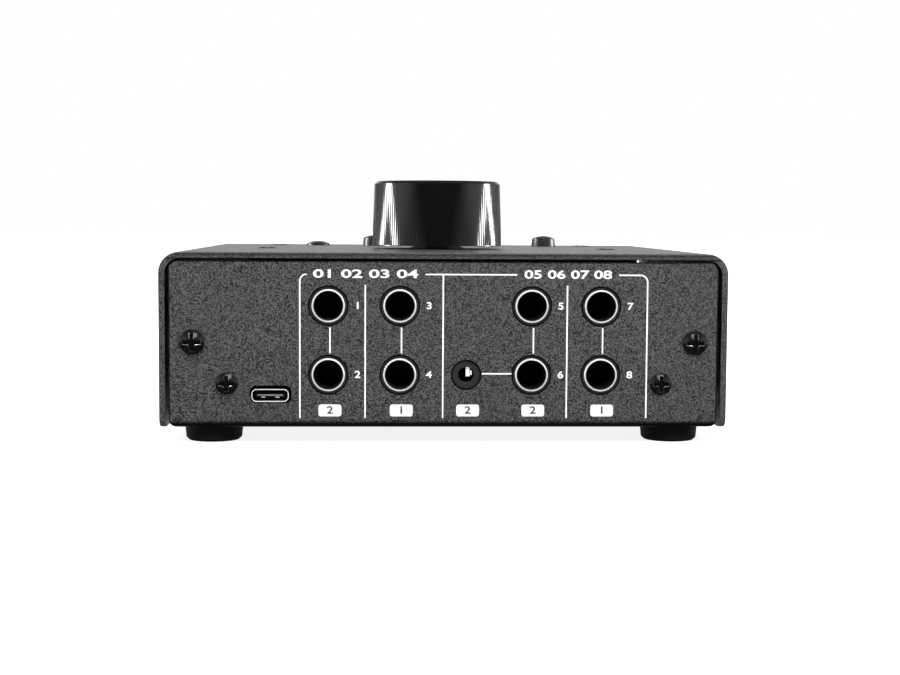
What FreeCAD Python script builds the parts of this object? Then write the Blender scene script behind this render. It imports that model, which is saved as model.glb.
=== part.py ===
"""Desktop studio monitor controller: a folded steel case with jacks on its rear panel, one large level
knob and five push buttons on top, and a headphone output on the front.

Frame: +Z up, +Y to the rear panel, origin on the table below the middle of the whole footprint.
Lengths are millimetres and angles degrees.
"""
import FreeCAD, Part
import math
import os
import re

import Sketcher

# ---------------------------------------------------------------- driving dimensions (one sheet cell each)
DIMENSIONS = {
    # case
    "case_width": 134.0,
    "case_depth": 120.0,
    "case_height": 41.25,
    "cover_wall": 1.5,
    "cover_bend": 5.0,
    "cover_edge": 0.4,
    "cover_corner": 2.5,
    "chassis_wall": 1.2,
    "chassis_bend": 1.8,
    "panel_side_gap": 0.8,
    "panel_top_gap": 0.5,
    "panel_recess": 0.4,
    "panel_corner": 2.6,
    "lip_height": 8.0,
    # feet
    "foot_height": 4.0,
    "foot_top_dia": 14.0,
    "foot_base_dia": 13.2,
    "foot_bevel": 0.6,
    "foot_inset_side": 11.8,
    "foot_inset_end": 11.0,
    "foot_seat": 1.8,
    "foot_recess_dia": 6.6,
    "foot_screw_depth": 0.3,
    # circuit boards
    "board_wall": 1.6,
    "board_gap": 0.6,
    "board_inset_side": 9.0,
    "spacer_height": 2.4,
    "spacer_dia": 6.0,
    "spacer_inset_side": 13.0,
    "spacer_inset_end": 27.0,
    "jack_board_half_width": 46.0,
    "jack_board_depth": 34.0,
    "control_drop": 10.0,
    "control_inset_side": 15.0,
    "control_inset_rear": 38.0,
    "control_inset_front": 8.0,
    "post_inset_side": 22.0,
    "post_inset_rear": 50.5,
    "post_inset_front": 16.6,
    "post_width": 5.5,
    # 6.35 mm jacks
    "jack_width": 15.2,
    "jack_height": 14.65,
    "jack_depth": 27.0,
    "jack_nose_dia": 8.7,
    "jack_nose_length": 1.5,
    "jack_bore_dia": 6.6,
    "jack_bore_depth": 25.0,
    "jack_hole_dia": 9.6,
    "jack_step": 4.0,
    "window_width": 2.4,
    "window_depth": 0.8,
    "window_sill": 2.6,
    "ferrule_dia": 7.8,
    "ferrule_length": 3.0,
    "ferrule_proud": 0.3,
    "groove_width": 0.25,
    "groove_depth": 0.3,
    "output_b_column": 27.45,
    "output_a_column": 10.67,
    "input_b_column": -20.45,
    "input_a_column": -36.86,
    # 3.5 mm jacks
    "mini_width": 9.0,
    "mini_above": 4.5,
    "mini_depth": 13.0,
    "mini_nose_dia": 6.4,
    "mini_nose_length": 0.9,
    "mini_recess": 0.6,
    "mini_bore_dia": 3.7,
    "mini_bore_depth": 12.0,
    "mini_hole_dia": 7.3,
    "mini_step": 1.5,
    "mini_lead": 0.2,
    "aux_column": -5.0,
    # USB-C socket
    "usb_column": 41.15,
    "usb_axis": 7.5,
    "usb_width": 8.84,
    "usb_height": 3.1,
    "usb_corner": 1.25,
    "usb_depth": 7.35,
    "usb_wall": 0.25,
    "usb_recess": 1.1,
    "usb_tongue_width": 6.7,
    "usb_tongue_wall": 0.7,
    "usb_tongue_setback": 0.9,
    "usb_base_depth": 2.0,
    "usb_hole_column": 40.95,
    "usb_hole_axis": 7.83,
    "usb_hole_width": 9.8,
    "usb_hole_height": 4.25,
    "usb_hole_corner": 1.6,
    "usb_leg": 1.0,
    # screws
    "thread_dia": 3.0,
    "thread_gap": 0.05,
    "screw_hole_dia": 3.4,
    "screw_head_dia": 5.8,
    "screw_head_height": 2.0,
    "screw_head_rim": 0.7,
    "recess_span": 4.4,
    "recess_slot": 1.1,
    "recess_depth": 1.2,
    "recess_corner": 0.3,
    "small_recess_span": 3.8,
    "small_thread_dia": 2.5,
    "small_hole_dia": 2.9,
    "small_head_dia": 5.1,
    "small_head_height": 1.7,
    "cover_screw_inset": 7.8,
    "cover_screw_axis": 20.2,
    "cover_screw_length": 6.0,
    "bracket_screw_inset": 15.8,
    "bracket_screw_axis": 10.5,
    "bracket_screw_length": 5.0,
    "board_screw_length": 3.8,
    "post_screw_length": 6.0,
    "foot_screw_length": 4.8,
    "sunk_head_dia": 6.0,
    "sunk_head_crown": 0.4,
    "sunk_hole_dia": 3.2,
    # lugs and brackets
    "lug_wall": 1.5,
    "lug_height": 11.0,
    "lug_reach": 4.0,
    "lug_length": 10.0,
    "bracket_wall": 1.2,
    "bracket_width": 8.0,
    "bracket_foot": 8.0,
    "bracket_above": 3.6,
    # level knob
    "knob_inset": 56.0,
    "knob_base_dia": 34.6,
    "knob_top_dia": 33.7,
    "knob_height": 17.0,
    "knob_gap": 0.9,
    "knob_edge": 0.7,
    "knob_hollow_dia": 27.0,
    "knob_hollow": 6.0,
    "knob_bore": 13.0,
    "pointer_length": 9.0,
    "pointer_width": 1.2,
    "pointer_depth": 0.4,
    "pointer_inset": 1.6,
    "grub_height": 10.0,
    "grub_length": 5.0,
    "grub_socket": 1.5,
    "shaft_dia": 6.0,
    "shaft_gap": 0.05,
    "shaft_flat": 0.6,
    "shaft_foot": 8.0,
    "pot_width": 17.0,
    "pot_length": 18.0,
    "pot_wafer": 2.0,
    "pot_inset": 0.8,
    "terminal_width": 1.6,
    "terminal_reach": 2.0,
    "bushing_dia": 8.9,
    "bushing_hole_dia": 9.3,
    "bushing_rise": 4.0,
    "washer_dia": 14.0,
    "washer_wall": 0.5,
    "nut_width": 11.0,
    "nut_wall": 2.0,
    # push buttons
    "button_inset": 18.0,
    "button_pitch": 16.8,
    "button_dia": 7.2,
    "button_tip_dia": 6.7,
    "button_hole_dia": 7.6,
    "button_rise": 3.1,
    "button_dome": 0.8,
    "button_edge": 0.4,
    "button_travel": 1.8,
    "button_skirt": 3.5,
    "stem_dia": 3.0,
    "stem_gap": 0.08,
    "stem_length": 5.5,
    "stem_floor": 0.4,
    "switch_width": 8.0,
    "switch_height": 6.0,
    "switch_base": 3.8,
    "switch_inset": 0.7,
    # headphone output
    "phones_jack_column": 22.0,
    "phones_mini_column": 5.0,
    "phones_knob_column": 43.0,
    "phones_knob_dia": 14.0,
    "phones_knob_tip_dia": 13.0,
    "phones_knob_length": 13.0,
    "phones_knob_gap": 0.6,
    "phones_hollow_dia": 12.2,
    "phones_hollow": 3.6,
    "phones_bore": 10.0,
    "phones_pot_width": 11.0,
    "phones_pot_above": 6.0,
    "phones_pot_depth": 9.0,
    "phones_bushing_dia": 6.9,
    "phones_bushing_hole": 7.2,
    "phones_bushing_rise": 3.2,
    "phones_nut_width": 10.0,
    "phones_nut_wall": 2.0,
    "phones_shaft_dia": 5.0,
    "phones_shaft_foot": 6.0,
    # pin headers between the boards
    "header_pitch": 2.54,
    "header_pin": 0.64,
    "header_base": 2.5,
    "link_column": -30.0,
    "link_inset": 78.0,
    "link_socket": 8.5,
    "jack_link_column": 28.0,
}

# Sizes and places that follow from the sheet. A word here may use any other, and formula() spells it out.
DERIVED = {
    "rear_reach": "screw_head_height - panel_recess",
    "front_reach": "phones_knob_gap + phones_knob_length - panel_recess",
    "rear_edge": "(case_depth + front_reach - rear_reach) / 2",
    "front_edge": "rear_edge - case_depth",
    "rear_face": "rear_edge - panel_recess",
    "rear_inside": "rear_face - chassis_wall",
    "front_face": "front_edge + panel_recess",
    "front_inside": "front_face + chassis_wall",
    "case_base": "foot_height",
    "case_top": "case_base + case_height",
    "cover_under": "case_top - cover_wall",
    "cover_half": "case_width / 2",
    "cover_inside": "cover_half - cover_wall",
    "panel_half": "cover_inside - panel_side_gap",
    "panel_top": "cover_under - panel_top_gap",
    "floor_top": "case_base + chassis_wall",
    "board_top": "floor_top + spacer_height + board_wall",
    "board_rear": "rear_inside - board_gap",
    "board_front": "front_inside + board_gap",
    "lower_axis": "board_top + jack_height / 2",
    "jack_board_under": "board_top + jack_height",
    "upper_axis": "lower_axis + jack_height + board_wall",
    "control_top": "cover_under - control_drop",
    "control_under": "control_top - board_wall",
    "jack_back": "rear_face - jack_nose_length - jack_depth",
    "board_half_width": "cover_half - board_inset_side",
    "spacer_side": "cover_half - spacer_inset_side",
    "control_half_width": "cover_half - control_inset_side",
    "control_rear": "rear_edge - control_inset_rear",
    "control_front": "front_edge + control_inset_front",
    "control_post_side": "cover_half - post_inset_side",
    "cover_screw_side": "cover_half - cover_screw_inset",
    "bracket_screw_side": "cover_half - bracket_screw_inset",
    "foot_side": "cover_half - foot_inset_side",
    "foot_rear": "rear_edge - foot_inset_end",
    "foot_front": "front_edge + foot_inset_end",
    "spacer_rear": "rear_edge - spacer_inset_end",
    "spacer_front": "front_edge + spacer_inset_end",
    "post_rear": "rear_edge - post_inset_rear",
    "post_front": "front_edge + post_inset_front",
    "knob_y": "rear_edge - knob_inset",
    "knob_base": "case_top + knob_gap",
    "button_y": "front_edge + button_inset",
    "cover_screw_z": "case_base + cover_screw_axis",
    "bracket_screw_z": "case_base + bracket_screw_axis",
    "usb_z": "case_base + usb_axis",
    "usb_hole_z": "case_base + usb_hole_axis",
    "link_y": "rear_edge - link_inset",
    "jack_link_y": "(jack_back + rear_face - jack_nose_length - jack_board_depth) / 2",
    "phones_axis": "lower_axis",
}

# Counts
HEADER_PINS = 9
CONTACT_WINDOWS = 2

doc = FreeCAD.newDocument("monitor_controller")
sheet = doc.addObject("Spreadsheet::Sheet", "dims")
for row, (name, size) in enumerate(DIMENSIONS.items(), start=1):
    sheet.set(f"A{row}", name)
    sheet.set(f"B{row}", str(size))
    sheet.setAlias(f"B{row}", name)
doc.recompute()

subparts = []


# ---------------------------------------------------------------- expressions
def formula(text):
    """An expression for setExpression: derived words spelled out, sheet words with the sheet's prefix."""
    def spell(match):
        word = match.group(0)
        if word in DERIVED:
            return f"({formula(DERIVED[word])})"
        if word in DIMENSIONS:
            return f"dims.{word}"
        return word
    return re.sub(r"[A-Za-z_]\w*", spell, str(text))


def value(text):
    """The number that an expression comes to with the sheet as it stands."""
    return float(sheet.evalExpression(formula(text)))


# ---------------------------------------------------------------- sketches
PLANES = {"XY": ("XY_Plane", 1), "XZ": ("XZ_Plane", -1), "YZ": ("YZ_Plane", 1)}


def new_body(label):
    body = doc.addObject("PartDesign::Body", label)
    body.Label = label
    return body


def sketch(body, plane, level="0"):
    """An empty sketch on an origin plane of the body, moved to level along that plane's own axis."""
    role, sense = PLANES[plane]
    drawing = body.newObject("Sketcher::SketchObject", "sketch")
    support = [feature for feature in body.Origin.OriginFeatures if feature.Role == role]
    drawing.AttachmentSupport = [(support[0], "")]
    drawing.MapMode = "FlatFace"
    drawing.setExpression("AttachmentOffset.Base.z", formula(f"{sense} * ({level})"))
    return drawing


def pin_point(drawing, index, corner, across, up):
    """Bind one point of a sketch to two expressions."""
    for kind, place in (("DistanceX", across), ("DistanceY", up)):
        bound = drawing.addConstraint(Sketcher.Constraint(kind, -1, 1, index, corner, value(place)))
        drawing.setExpression(f"Constraints[{bound}]", formula(place))


def circle(drawing, across, up, diameter):
    centre = FreeCAD.Vector(value(across), value(up), 0)
    index = drawing.addGeometry(Part.Circle(centre, FreeCAD.Vector(0, 0, 1), value(diameter) / 2), False)
    pin_point(drawing, index, 3, across, up)
    bound = drawing.addConstraint(Sketcher.Constraint("Diameter", index, value(diameter)))
    drawing.setExpression(f"Constraints[{bound}]", formula(diameter))


def pin_centre(drawing, index, corner, after):
    """Bind the centre of an arc between two corners, along the axis in which its place tells most."""
    across = f"(({after[0]}) - ({corner[0]}))"
    up = f"(({after[1]}) - ({corner[1]}))"
    chord = f"sqrt({across}^2 + {up}^2)"
    bulge = f"({corner[2]})"
    drop = f"({bulge} - ({chord}^2 / 4 + {bulge}^2) / (2 * abs({bulge})) * {bulge} / abs({bulge}))"
    if abs(value(up)) > abs(value(across)):
        kind = "DistanceX"
        centre = f"(({after[0]}) + ({corner[0]})) / 2 + {up} / {chord} * {drop}"
    else:
        kind = "DistanceY"
        centre = f"(({after[1]}) + ({corner[1]})) / 2 - {across} / {chord} * {drop}"
    bound = drawing.addConstraint(Sketcher.Constraint(kind, -1, 1, index, 3, value(centre)))
    drawing.setExpression(f"Constraints[{bound}]", formula(centre))


def outline(drawing, corners):
    """A closed outline. A corner is (across, up), or (across, up, bulge) where an arc leaves it
    that stands bulge off its chord, to the right of the way it runs."""
    points = [FreeCAD.Vector(value(corner[0]), value(corner[1]), 0) for corner in corners]
    ends = []
    for number, corner in enumerate(corners):
        start = points[number]
        stop = points[(number + 1) % len(points)]
        if len(corner) == 2:
            side = drawing.addGeometry(Part.LineSegment(start, stop), False)
            ends.append((side, 1, 2))
            continue
        run = stop - start
        aside = FreeCAD.Vector(run.y, -run.x, 0).normalize()
        middle = (start + stop) * 0.5 + aside * value(corner[2])
        side = drawing.addGeometry(Part.Arc(start, middle, stop), False)
        forward = drawing.Geometry[side].StartPoint.isEqual(start, 1e-6)
        ends.append((side, 1, 2) if forward else (side, 2, 1))
    for number, (side, first, last) in enumerate(ends):
        following = ends[(number + 1) % len(ends)]
        drawing.addConstraint(Sketcher.Constraint("Coincident", side, last, following[0], following[1]))
    for number, corner in enumerate(corners):
        side, first, last = ends[number]
        pin_point(drawing, side, first, corner[0], corner[1])
        if len(corner) == 3:
            pin_centre(drawing, side, corner, corners[(number + 1) % len(corners)])


def crown(radius, rise):
    """The bulge of the arc from a crown's rim to its middle, for a crown that stands rise high."""
    chord = f"(({radius})^2 + ({rise})^2)"
    bend = f"({chord} / (2 * ({rise})))"
    return f"({bend} - sqrt({bend}^2 - {chord} / 4))"


def rectangle(drawing, left, right, low, high):
    outline(drawing, [(left, low), (right, low), (right, high), (left, high)])


def rounded(drawing, across, up, width, height, corner):
    """A rectangle about a middle, with rounded corners."""
    wide, tall = f"({width}) / 2", f"({height}) / 2"
    short, low = f"({wide} - ({corner}))", f"({tall} - ({corner}))"
    bulge = f"({corner}) * (1 - sqrt(0.5))"
    points = [(f"-{short}", f"-{tall}"), (short, f"-{tall}", bulge), (wide, f"-{low}"), (wide, low, bulge),
              (short, tall), (f"-{short}", tall, bulge), (f"-{wide}", low), (f"-{wide}", f"-{low}", bulge)]
    outline(drawing, [(f"({across}) + {point[0]}", f"({up}) + {point[1]}", *point[2:]) for point in points])


# ---------------------------------------------------------------- features
def pad(body, drawing, length, backwards=False):
    feature = body.newObject("PartDesign::Pad", "pad")
    feature.Profile = drawing
    feature.setExpression("Length", formula(length))
    feature.Reversed = backwards
    doc.recompute()
    return feature


def pocket(body, drawing, depth, backwards=False):
    """Cut against the sketch's normal, or along it when backwards is set. An empty cut is an error."""
    before = body.Shape.Volume
    feature = body.newObject("PartDesign::Pocket", "pocket")
    feature.Profile = drawing
    feature.setExpression("Length", formula(depth))
    feature.Reversed = backwards
    doc.recompute()
    if body.Shape.Volume > before - 1e-4:
        raise RuntimeError(f"a pocket of {body.Label} cuts nothing")
    return feature


def revolve(body, drawing):
    """Turn a sketch on the XZ plane a full turn about its upright axis."""
    feature = body.newObject("PartDesign::Revolution", "revolution")
    feature.Profile = drawing
    feature.ReferenceAxis = (drawing, ["V_Axis"])
    feature.Angle = 360
    doc.recompute()
    return feature


def edges_of(shape, chosen):
    return [f"Edge{number}" for number, edge in enumerate(shape.Edges, start=1) if chosen(edge)]


def straight(axis, **places):
    """A test for straight edges along an axis that lie at the given places; a place may list several."""
    wanted = {name: [value(one) for one in ([place] if isinstance(place, str) else place)]
              for name, place in places.items()}

    def chosen(edge):
        if edge.Curve.TypeId != "Part::GeomLine":
            return False
        first, last = edge.Vertexes[0].Point, edge.Vertexes[-1].Point
        for name in "xyz":
            ends = (getattr(first, name), getattr(last, name))
            if name == axis:
                if abs(ends[0] - ends[1]) < 0.01:
                    return False
            elif abs(ends[0] - ends[1]) > 0.01:
                return False
            if name in wanted and not any(abs(ends[0] - place) < 0.01 for place in wanted[name]):
                return False
        return True
    return chosen


def round_edge(diameter, level):
    """A test for round edges of a diameter at a height. Of those that face along Y, only the one at y = 0."""
    radius, height = value(diameter) / 2, value(level)

    def chosen(edge):
        if edge.Curve.TypeId != "Part::GeomCircle":
            return False
        middle = edge.Curve.Center
        facing_along = abs(edge.Curve.Axis.y) > 0.5
        if facing_along and abs(middle.y) > 0.01:
            return False
        return abs(edge.Curve.Radius - radius) < 0.01 and abs(middle.z - height) < 0.01
    return chosen


def soften(body, kind, size, chosen):
    """Fillet or chamfer the chosen edges of a body."""
    base = body.Tip
    names = edges_of(base.Shape, chosen)
    if not names:
        raise RuntimeError(f"no edge of {body.Label} to {kind.lower()}")
    feature = body.newObject(f"PartDesign::{kind}", kind.lower())
    feature.Base = (base, names)
    feature.setExpression("Radius" if kind == "Fillet" else "Size", formula(size))
    doc.recompute()
    return feature


UPRIGHT = FreeCAD.Rotation()
OVER_X = FreeCAD.Rotation(FreeCAD.Vector(1, 0, 0), 180)
OVER_Y = FreeCAD.Rotation(FreeCAD.Vector(0, 1, 0), 180)
OVER_Z = FreeCAD.Rotation(FreeCAD.Vector(0, 0, 1), 180)
# turns that point a piece's own +Z to the rear or to the front
TO_REAR = FreeCAD.Rotation(FreeCAD.Vector(1, 0, 0), -90)
TO_FRONT = FreeCAD.Rotation(FreeCAD.Vector(1, 0, 0), 90)


def place(item, across="0", along="0", up="0", turn=UPRIGHT):
    """Put an item where three expressions say."""
    item.Placement = FreeCAD.Placement(FreeCAD.Vector(), turn)
    for axis, spot in (("x", across), ("y", along), ("z", up)):
        item.setExpression(f"Placement.Base.{axis}", formula(spot))
    return item


def keep(item):
    """Count an object as a sub-part of the hand-in."""
    subparts.append(item)
    return item


def group(label, master, spots):
    """Copies of one master as separate solids of one sub-part. A spot is (across, along, up, turn)."""
    copies = []
    for spot in spots:
        copy = doc.addObject("App::Link", f"{label}_copy")
        copy.LinkedObject = master
        place(copy, *spot)
        copies.append(copy)
    together = doc.addObject("Part::Compound", label)
    together.Label = label
    together.Links = copies
    return keep(together)


# ---------------------------------------------------------------- case
BUTTON_NUMBERS = (-2, -1, 0, 1, 2)
# the button at the right hand of someone at the front panel is latched down
LATCHED = 2
JACKS = {
    "output_b_left": ("output_b_column", "upper_axis"),
    "output_b_right": ("output_b_column", "lower_axis"),
    "output_a_left": ("output_a_column", "upper_axis"),
    "output_a_right": ("output_a_column", "lower_axis"),
    "input_b_left": ("input_b_column", "upper_axis"),
    "input_b_right": ("input_b_column", "lower_axis"),
    "input_a_left": ("input_a_column", "upper_axis"),
    "input_a_right": ("input_a_column", "lower_axis"),
}
SIDES = ("-", "+")


def top_cover():
    """The folded top and sides, with its holes for the controls and the countersunk board screws."""
    body = new_body("top_cover")
    fold = sketch(body, "XZ", "rear_edge")
    outline(fold, [
        ("-cover_half", "case_base"),
        ("-cover_inside", "case_base"),
        ("-cover_inside", "cover_under"),
        ("cover_inside", "cover_under"),
        ("cover_inside", "case_base"),
        ("cover_half", "case_base"),
        ("cover_half", "case_top"),
        ("-cover_half", "case_top"),
    ])
    pad(body, fold, "case_depth")
    soften(body, "Fillet", "cover_bend", straight("y", x=["cover_half", "-cover_half"], z="case_top"))
    inner_bend = straight("y", x=["cover_inside", "-cover_inside"], z="cover_under")
    soften(body, "Fillet", "cover_bend - cover_wall", inner_bend)
    flange_corner = straight("x", y=["rear_edge", "front_edge"], z="case_base")
    soften(body, "Fillet", "cover_corner", flange_corner)
    outer_edge = straight("y", x=["cover_half", "-cover_half"], z="case_base")
    soften(body, "Fillet", "cover_edge", outer_edge)
    holes = sketch(body, "XY", "case_top")
    circle(holes, "0", "knob_y", "bushing_hole_dia")
    for number in BUTTON_NUMBERS:
        circle(holes, f"{number} * button_pitch", "button_y", "button_hole_dia")
    for side in SIDES:
        for end in ("post_rear", "post_front"):
            circle(holes, f"{side}control_post_side", end, "sunk_hole_dia")
    pocket(body, holes, "2 * cover_wall")
    sink = "(sunk_head_dia - sunk_hole_dia) / 2"
    soften(body, "Chamfer", sink, round_edge("sunk_hole_dia", "case_top"))
    return keep(body)


def chassis():
    """The tray: floor, rear and front panels folded up from it, and a low lip along each side."""
    body = new_body("chassis")
    fold = sketch(body, "YZ", "-panel_half")
    outline(fold, [
        ("front_face", "case_base"),
        ("rear_face", "case_base"),
        ("rear_face", "panel_top"),
        ("rear_inside", "panel_top"),
        ("rear_inside", "floor_top"),
        ("front_inside", "floor_top"),
        ("front_inside", "panel_top"),
        ("front_face", "panel_top"),
    ])
    pad(body, fold, "2 * panel_half")
    lips = sketch(body, "XY", "case_base")
    for side in SIDES:
        rectangle(lips, f"{side}(panel_half - chassis_wall)", f"{side}panel_half",
                  "front_inside", "rear_inside")
    pad(body, lips, "lip_height")
    panel_fold = straight("x", y=["rear_face", "front_face"], z="case_base")
    lip_fold = straight("y", x=["panel_half", "-panel_half"], z="case_base")
    soften(body, "Fillet", "chassis_bend", lambda edge: panel_fold(edge) or lip_fold(edge))
    inner_bend = straight("x", y=["rear_inside", "front_inside"], z="floor_top")
    soften(body, "Fillet", "chassis_bend - chassis_wall", inner_bend)
    corners = straight("y", x=["panel_half", "-panel_half"], z="panel_top")
    soften(body, "Fillet", "panel_corner", corners)
    rear_holes = sketch(body, "XZ", "rear_face")
    for column, row in JACKS.values():
        circle(rear_holes, column, row, "jack_hole_dia")
    circle(rear_holes, "aux_column", "lower_axis", "mini_hole_dia")
    rounded(rear_holes, "usb_hole_column", "usb_hole_z", "usb_hole_width", "usb_hole_height",
            "usb_hole_corner")
    for side in SIDES:
        circle(rear_holes, f"{side}cover_screw_side", "cover_screw_z", "screw_hole_dia")
        circle(rear_holes, f"{side}bracket_screw_side", "bracket_screw_z", "small_hole_dia")
    pocket(body, rear_holes, "2 * chassis_wall", backwards=True)
    front_holes = sketch(body, "XZ", "front_inside")
    circle(front_holes, "phones_jack_column", "phones_axis", "jack_hole_dia")
    circle(front_holes, "phones_mini_column", "phones_axis", "mini_hole_dia")
    circle(front_holes, "phones_knob_column", "phones_axis", "phones_bushing_hole")
    for side in SIDES:
        circle(front_holes, f"{side}cover_screw_side", "cover_screw_z", "screw_hole_dia")
    pocket(body, front_holes, "2 * chassis_wall", backwards=True)
    foot_holes = sketch(body, "XY", "floor_top")
    for side in SIDES:
        for end in ("foot_rear", "foot_front"):
            circle(foot_holes, f"{side}foot_side", end, "thread_dia + 2 * thread_gap")
    pocket(body, foot_holes, "2 * chassis_wall")
    return keep(body)


def cover_lugs():
    """Four angle lugs welded inside the cover, which the panel screws pull on."""
    lug = new_body("cover_lug")
    reach = "(cover_inside - cover_screw_side)"
    profile = sketch(lug, "XY", "-lug_height / 2")
    outline(profile, [
        ("-lug_reach", "-lug_wall"),
        (f"{reach} - lug_wall", "-lug_wall"),
        (f"{reach} - lug_wall", "-lug_length"),
        (reach, "-lug_length"),
        (reach, "0"),
        ("-lug_reach", "0"),
    ])
    pad(lug, profile, "lug_height")
    hole = sketch(lug, "XZ", "0")
    circle(hole, "0", "0", "thread_dia + 2 * thread_gap")
    pocket(lug, hole, "2 * lug_wall", backwards=True)
    group("cover_lugs", lug, [
        ("cover_screw_side", "rear_inside", "cover_screw_z", UPRIGHT),
        ("-cover_screw_side", "rear_inside", "cover_screw_z", OVER_Y),
        ("-cover_screw_side", "front_inside", "cover_screw_z", OVER_Z),
        ("cover_screw_side", "front_inside", "cover_screw_z", OVER_X),
    ])


def foot(label, side, end):
    """A rubber foot with a recess for its screw, its top on the case floor."""
    body = new_body(label)
    profile = sketch(body, "XZ", "0")
    outline(profile, [
        ("thread_dia / 2 + thread_gap", "foot_seat"),
        ("foot_recess_dia / 2", "foot_seat"),
        ("foot_recess_dia / 2", "0"),
        ("foot_base_dia / 2", "0"),
        ("foot_top_dia / 2", "foot_height"),
        ("thread_dia / 2 + thread_gap", "foot_height"),
    ])
    revolve(body, profile)
    soften(body, "Chamfer", "foot_bevel", round_edge("foot_base_dia", "0"))
    place(body, f"{side}foot_side", end, "0")
    return keep(body)


# ---------------------------------------------------------------- screws
def cross_recess(body, span, top):
    """A cross of two slots with its inner corners cut off, cut down from the top of a screw head."""
    drawing = sketch(body, "XY", top)
    wide, thin = f"{span} / 2", "recess_slot / 2"
    root = "(recess_slot / 2 + recess_corner)"
    outline(drawing, [
        (wide, f"-{thin}"), (wide, thin), (root, thin), (thin, root),
        (thin, wide), (f"-{thin}", wide), (f"-{thin}", root), (f"-{root}", thin),
        (f"-{wide}", thin), (f"-{wide}", f"-{thin}"), (f"-{root}", f"-{thin}"), (f"-{thin}", f"-{root}"),
        (f"-{thin}", f"-{wide}"), (thin, f"-{wide}"), (thin, f"-{root}"), (root, f"-{thin}"),
    ])
    pocket(body, drawing, "recess_depth")


def pan_screw(label, thread, head, height, length, span):
    """A cross-recess screw with a crowned head, which stands on z = 0 with the shank below."""
    body = new_body(label)
    profile = sketch(body, "XZ", "0")
    outline(profile, [
        ("0", f"-({length})"),
        (f"{thread} / 2", f"-({length})"),
        (f"{thread} / 2", "0"),
        (f"{head} / 2", "0"),
        (f"{head} / 2", "screw_head_rim", crown(f"{head} / 2", f"{height} - screw_head_rim")),
        ("0", height),
    ])
    revolve(body, profile)
    cross_recess(body, span, height)
    return body


def cheese_screw(label, height, length):
    """A screw with a plain flat head, which stands on z = 0 with the shank below."""
    body = new_body(label)
    profile = sketch(body, "XZ", "0")
    outline(profile, [
        ("0", f"-({length})"),
        ("thread_dia / 2", f"-({length})"),
        ("thread_dia / 2", "0"),
        ("screw_head_dia / 2", "0"),
        ("screw_head_dia / 2", height),
        ("0", height),
    ])
    revolve(body, profile)
    return body


def sunk_screw(label, length):
    """A raised countersunk screw: the rim of its head is level with z = 0."""
    body = new_body(label)
    cone = "(sunk_head_dia - thread_dia) / 2"
    rim = "sunk_head_dia / 2 - 2 * thread_gap"
    profile = sketch(body, "XZ", "0")
    outline(profile, [
        ("0", f"-({length})"),
        ("thread_dia / 2", f"-({length})"),
        ("thread_dia / 2", f"-{cone} + thread_gap"),
        (rim, "-thread_gap", crown(rim, "sunk_head_crown")),
        ("0", "sunk_head_crown - thread_gap"),
    ])
    revolve(body, profile)
    cross_recess(body, "small_recess_span", "sunk_head_crown - thread_gap")
    return body


def screws():
    """Every screw of the case, sorted by what it holds."""
    cover_screw = pan_screw("cover_screw", "thread_dia", "screw_head_dia", "screw_head_height",
                            "cover_screw_length", "recess_span")
    ends = (("rear", "rear_face", TO_REAR), ("front", "front_face", TO_FRONT))
    for end, face, turn in ends:
        spots = [(f"{side}cover_screw_side", face, "cover_screw_z", turn) for side in SIDES]
        group(f"{end}_cover_screws", cover_screw, spots)
    bracket_screw = pan_screw("bracket_screw", "small_thread_dia", "small_head_dia", "small_head_height",
                              "bracket_screw_length", "small_recess_span")
    spots = [(f"{side}bracket_screw_side", "rear_face", "bracket_screw_z", TO_REAR) for side in SIDES]
    group("bracket_screws", bracket_screw, spots)
    board_screw = cheese_screw("board_screw", "screw_head_height", "board_screw_length")
    spots = [(f"{side}spacer_side", end, "board_top", UPRIGHT)
             for side in SIDES for end in ("spacer_rear", "spacer_front")]
    group("main_board_screws", board_screw, spots)
    posts = [(f"{side}control_post_side", end) for side in SIDES for end in ("post_rear", "post_front")]
    group("control_board_screws", board_screw, [(*post, "control_under", OVER_X) for post in posts])
    cover_sunk_screw = sunk_screw("cover_sunk_screw", "post_screw_length")
    group("control_cover_screws", cover_sunk_screw, [(*post, "case_top", UPRIGHT) for post in posts])
    foot_screw = cheese_screw("foot_screw", "foot_seat - foot_screw_depth", "foot_screw_length")
    feet = [(f"{side}foot_side", end, "foot_seat", OVER_X)
            for side in SIDES for end in ("foot_rear", "foot_front")]
    group("foot_screws", foot_screw, feet)


# ---------------------------------------------------------------- boards and what carries them
def board(label, left, right, near, far, under, holes=()):
    """A bare circuit board with round holes, each (across, along, diameter)."""
    body = new_body(label)
    drawing = sketch(body, "XY", under)
    rectangle(drawing, left, right, near, far)
    for across, along, diameter in holes:
        circle(drawing, across, along, diameter)
    pad(body, drawing, "board_wall")
    return keep(body)


def boards():
    main_holes = [(f"{side}spacer_side", end, "screw_hole_dia")
                  for side in SIDES for end in ("spacer_rear", "spacer_front")]
    board("main_board", "-board_half_width", "board_half_width", "board_front", "board_rear",
          "board_top - board_wall", main_holes)
    board("jack_board", "-jack_board_half_width", "jack_board_half_width",
          "rear_face - jack_nose_length - jack_board_depth", "board_rear", "jack_board_under")
    post_holes = [(f"{side}control_post_side", end, "screw_hole_dia")
                  for side in SIDES for end in ("post_rear", "post_front")]
    board("control_board", "-control_half_width", "control_half_width",
          "control_front", "control_rear", "control_under", post_holes)


def tube(label, outer, inner, height):
    """A plain round tube standing on z = 0."""
    body = new_body(label)
    drawing = sketch(body, "XY", "0")
    circle(drawing, "0", "0", outer)
    circle(drawing, "0", "0", inner)
    pad(body, drawing, height)
    return body


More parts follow.
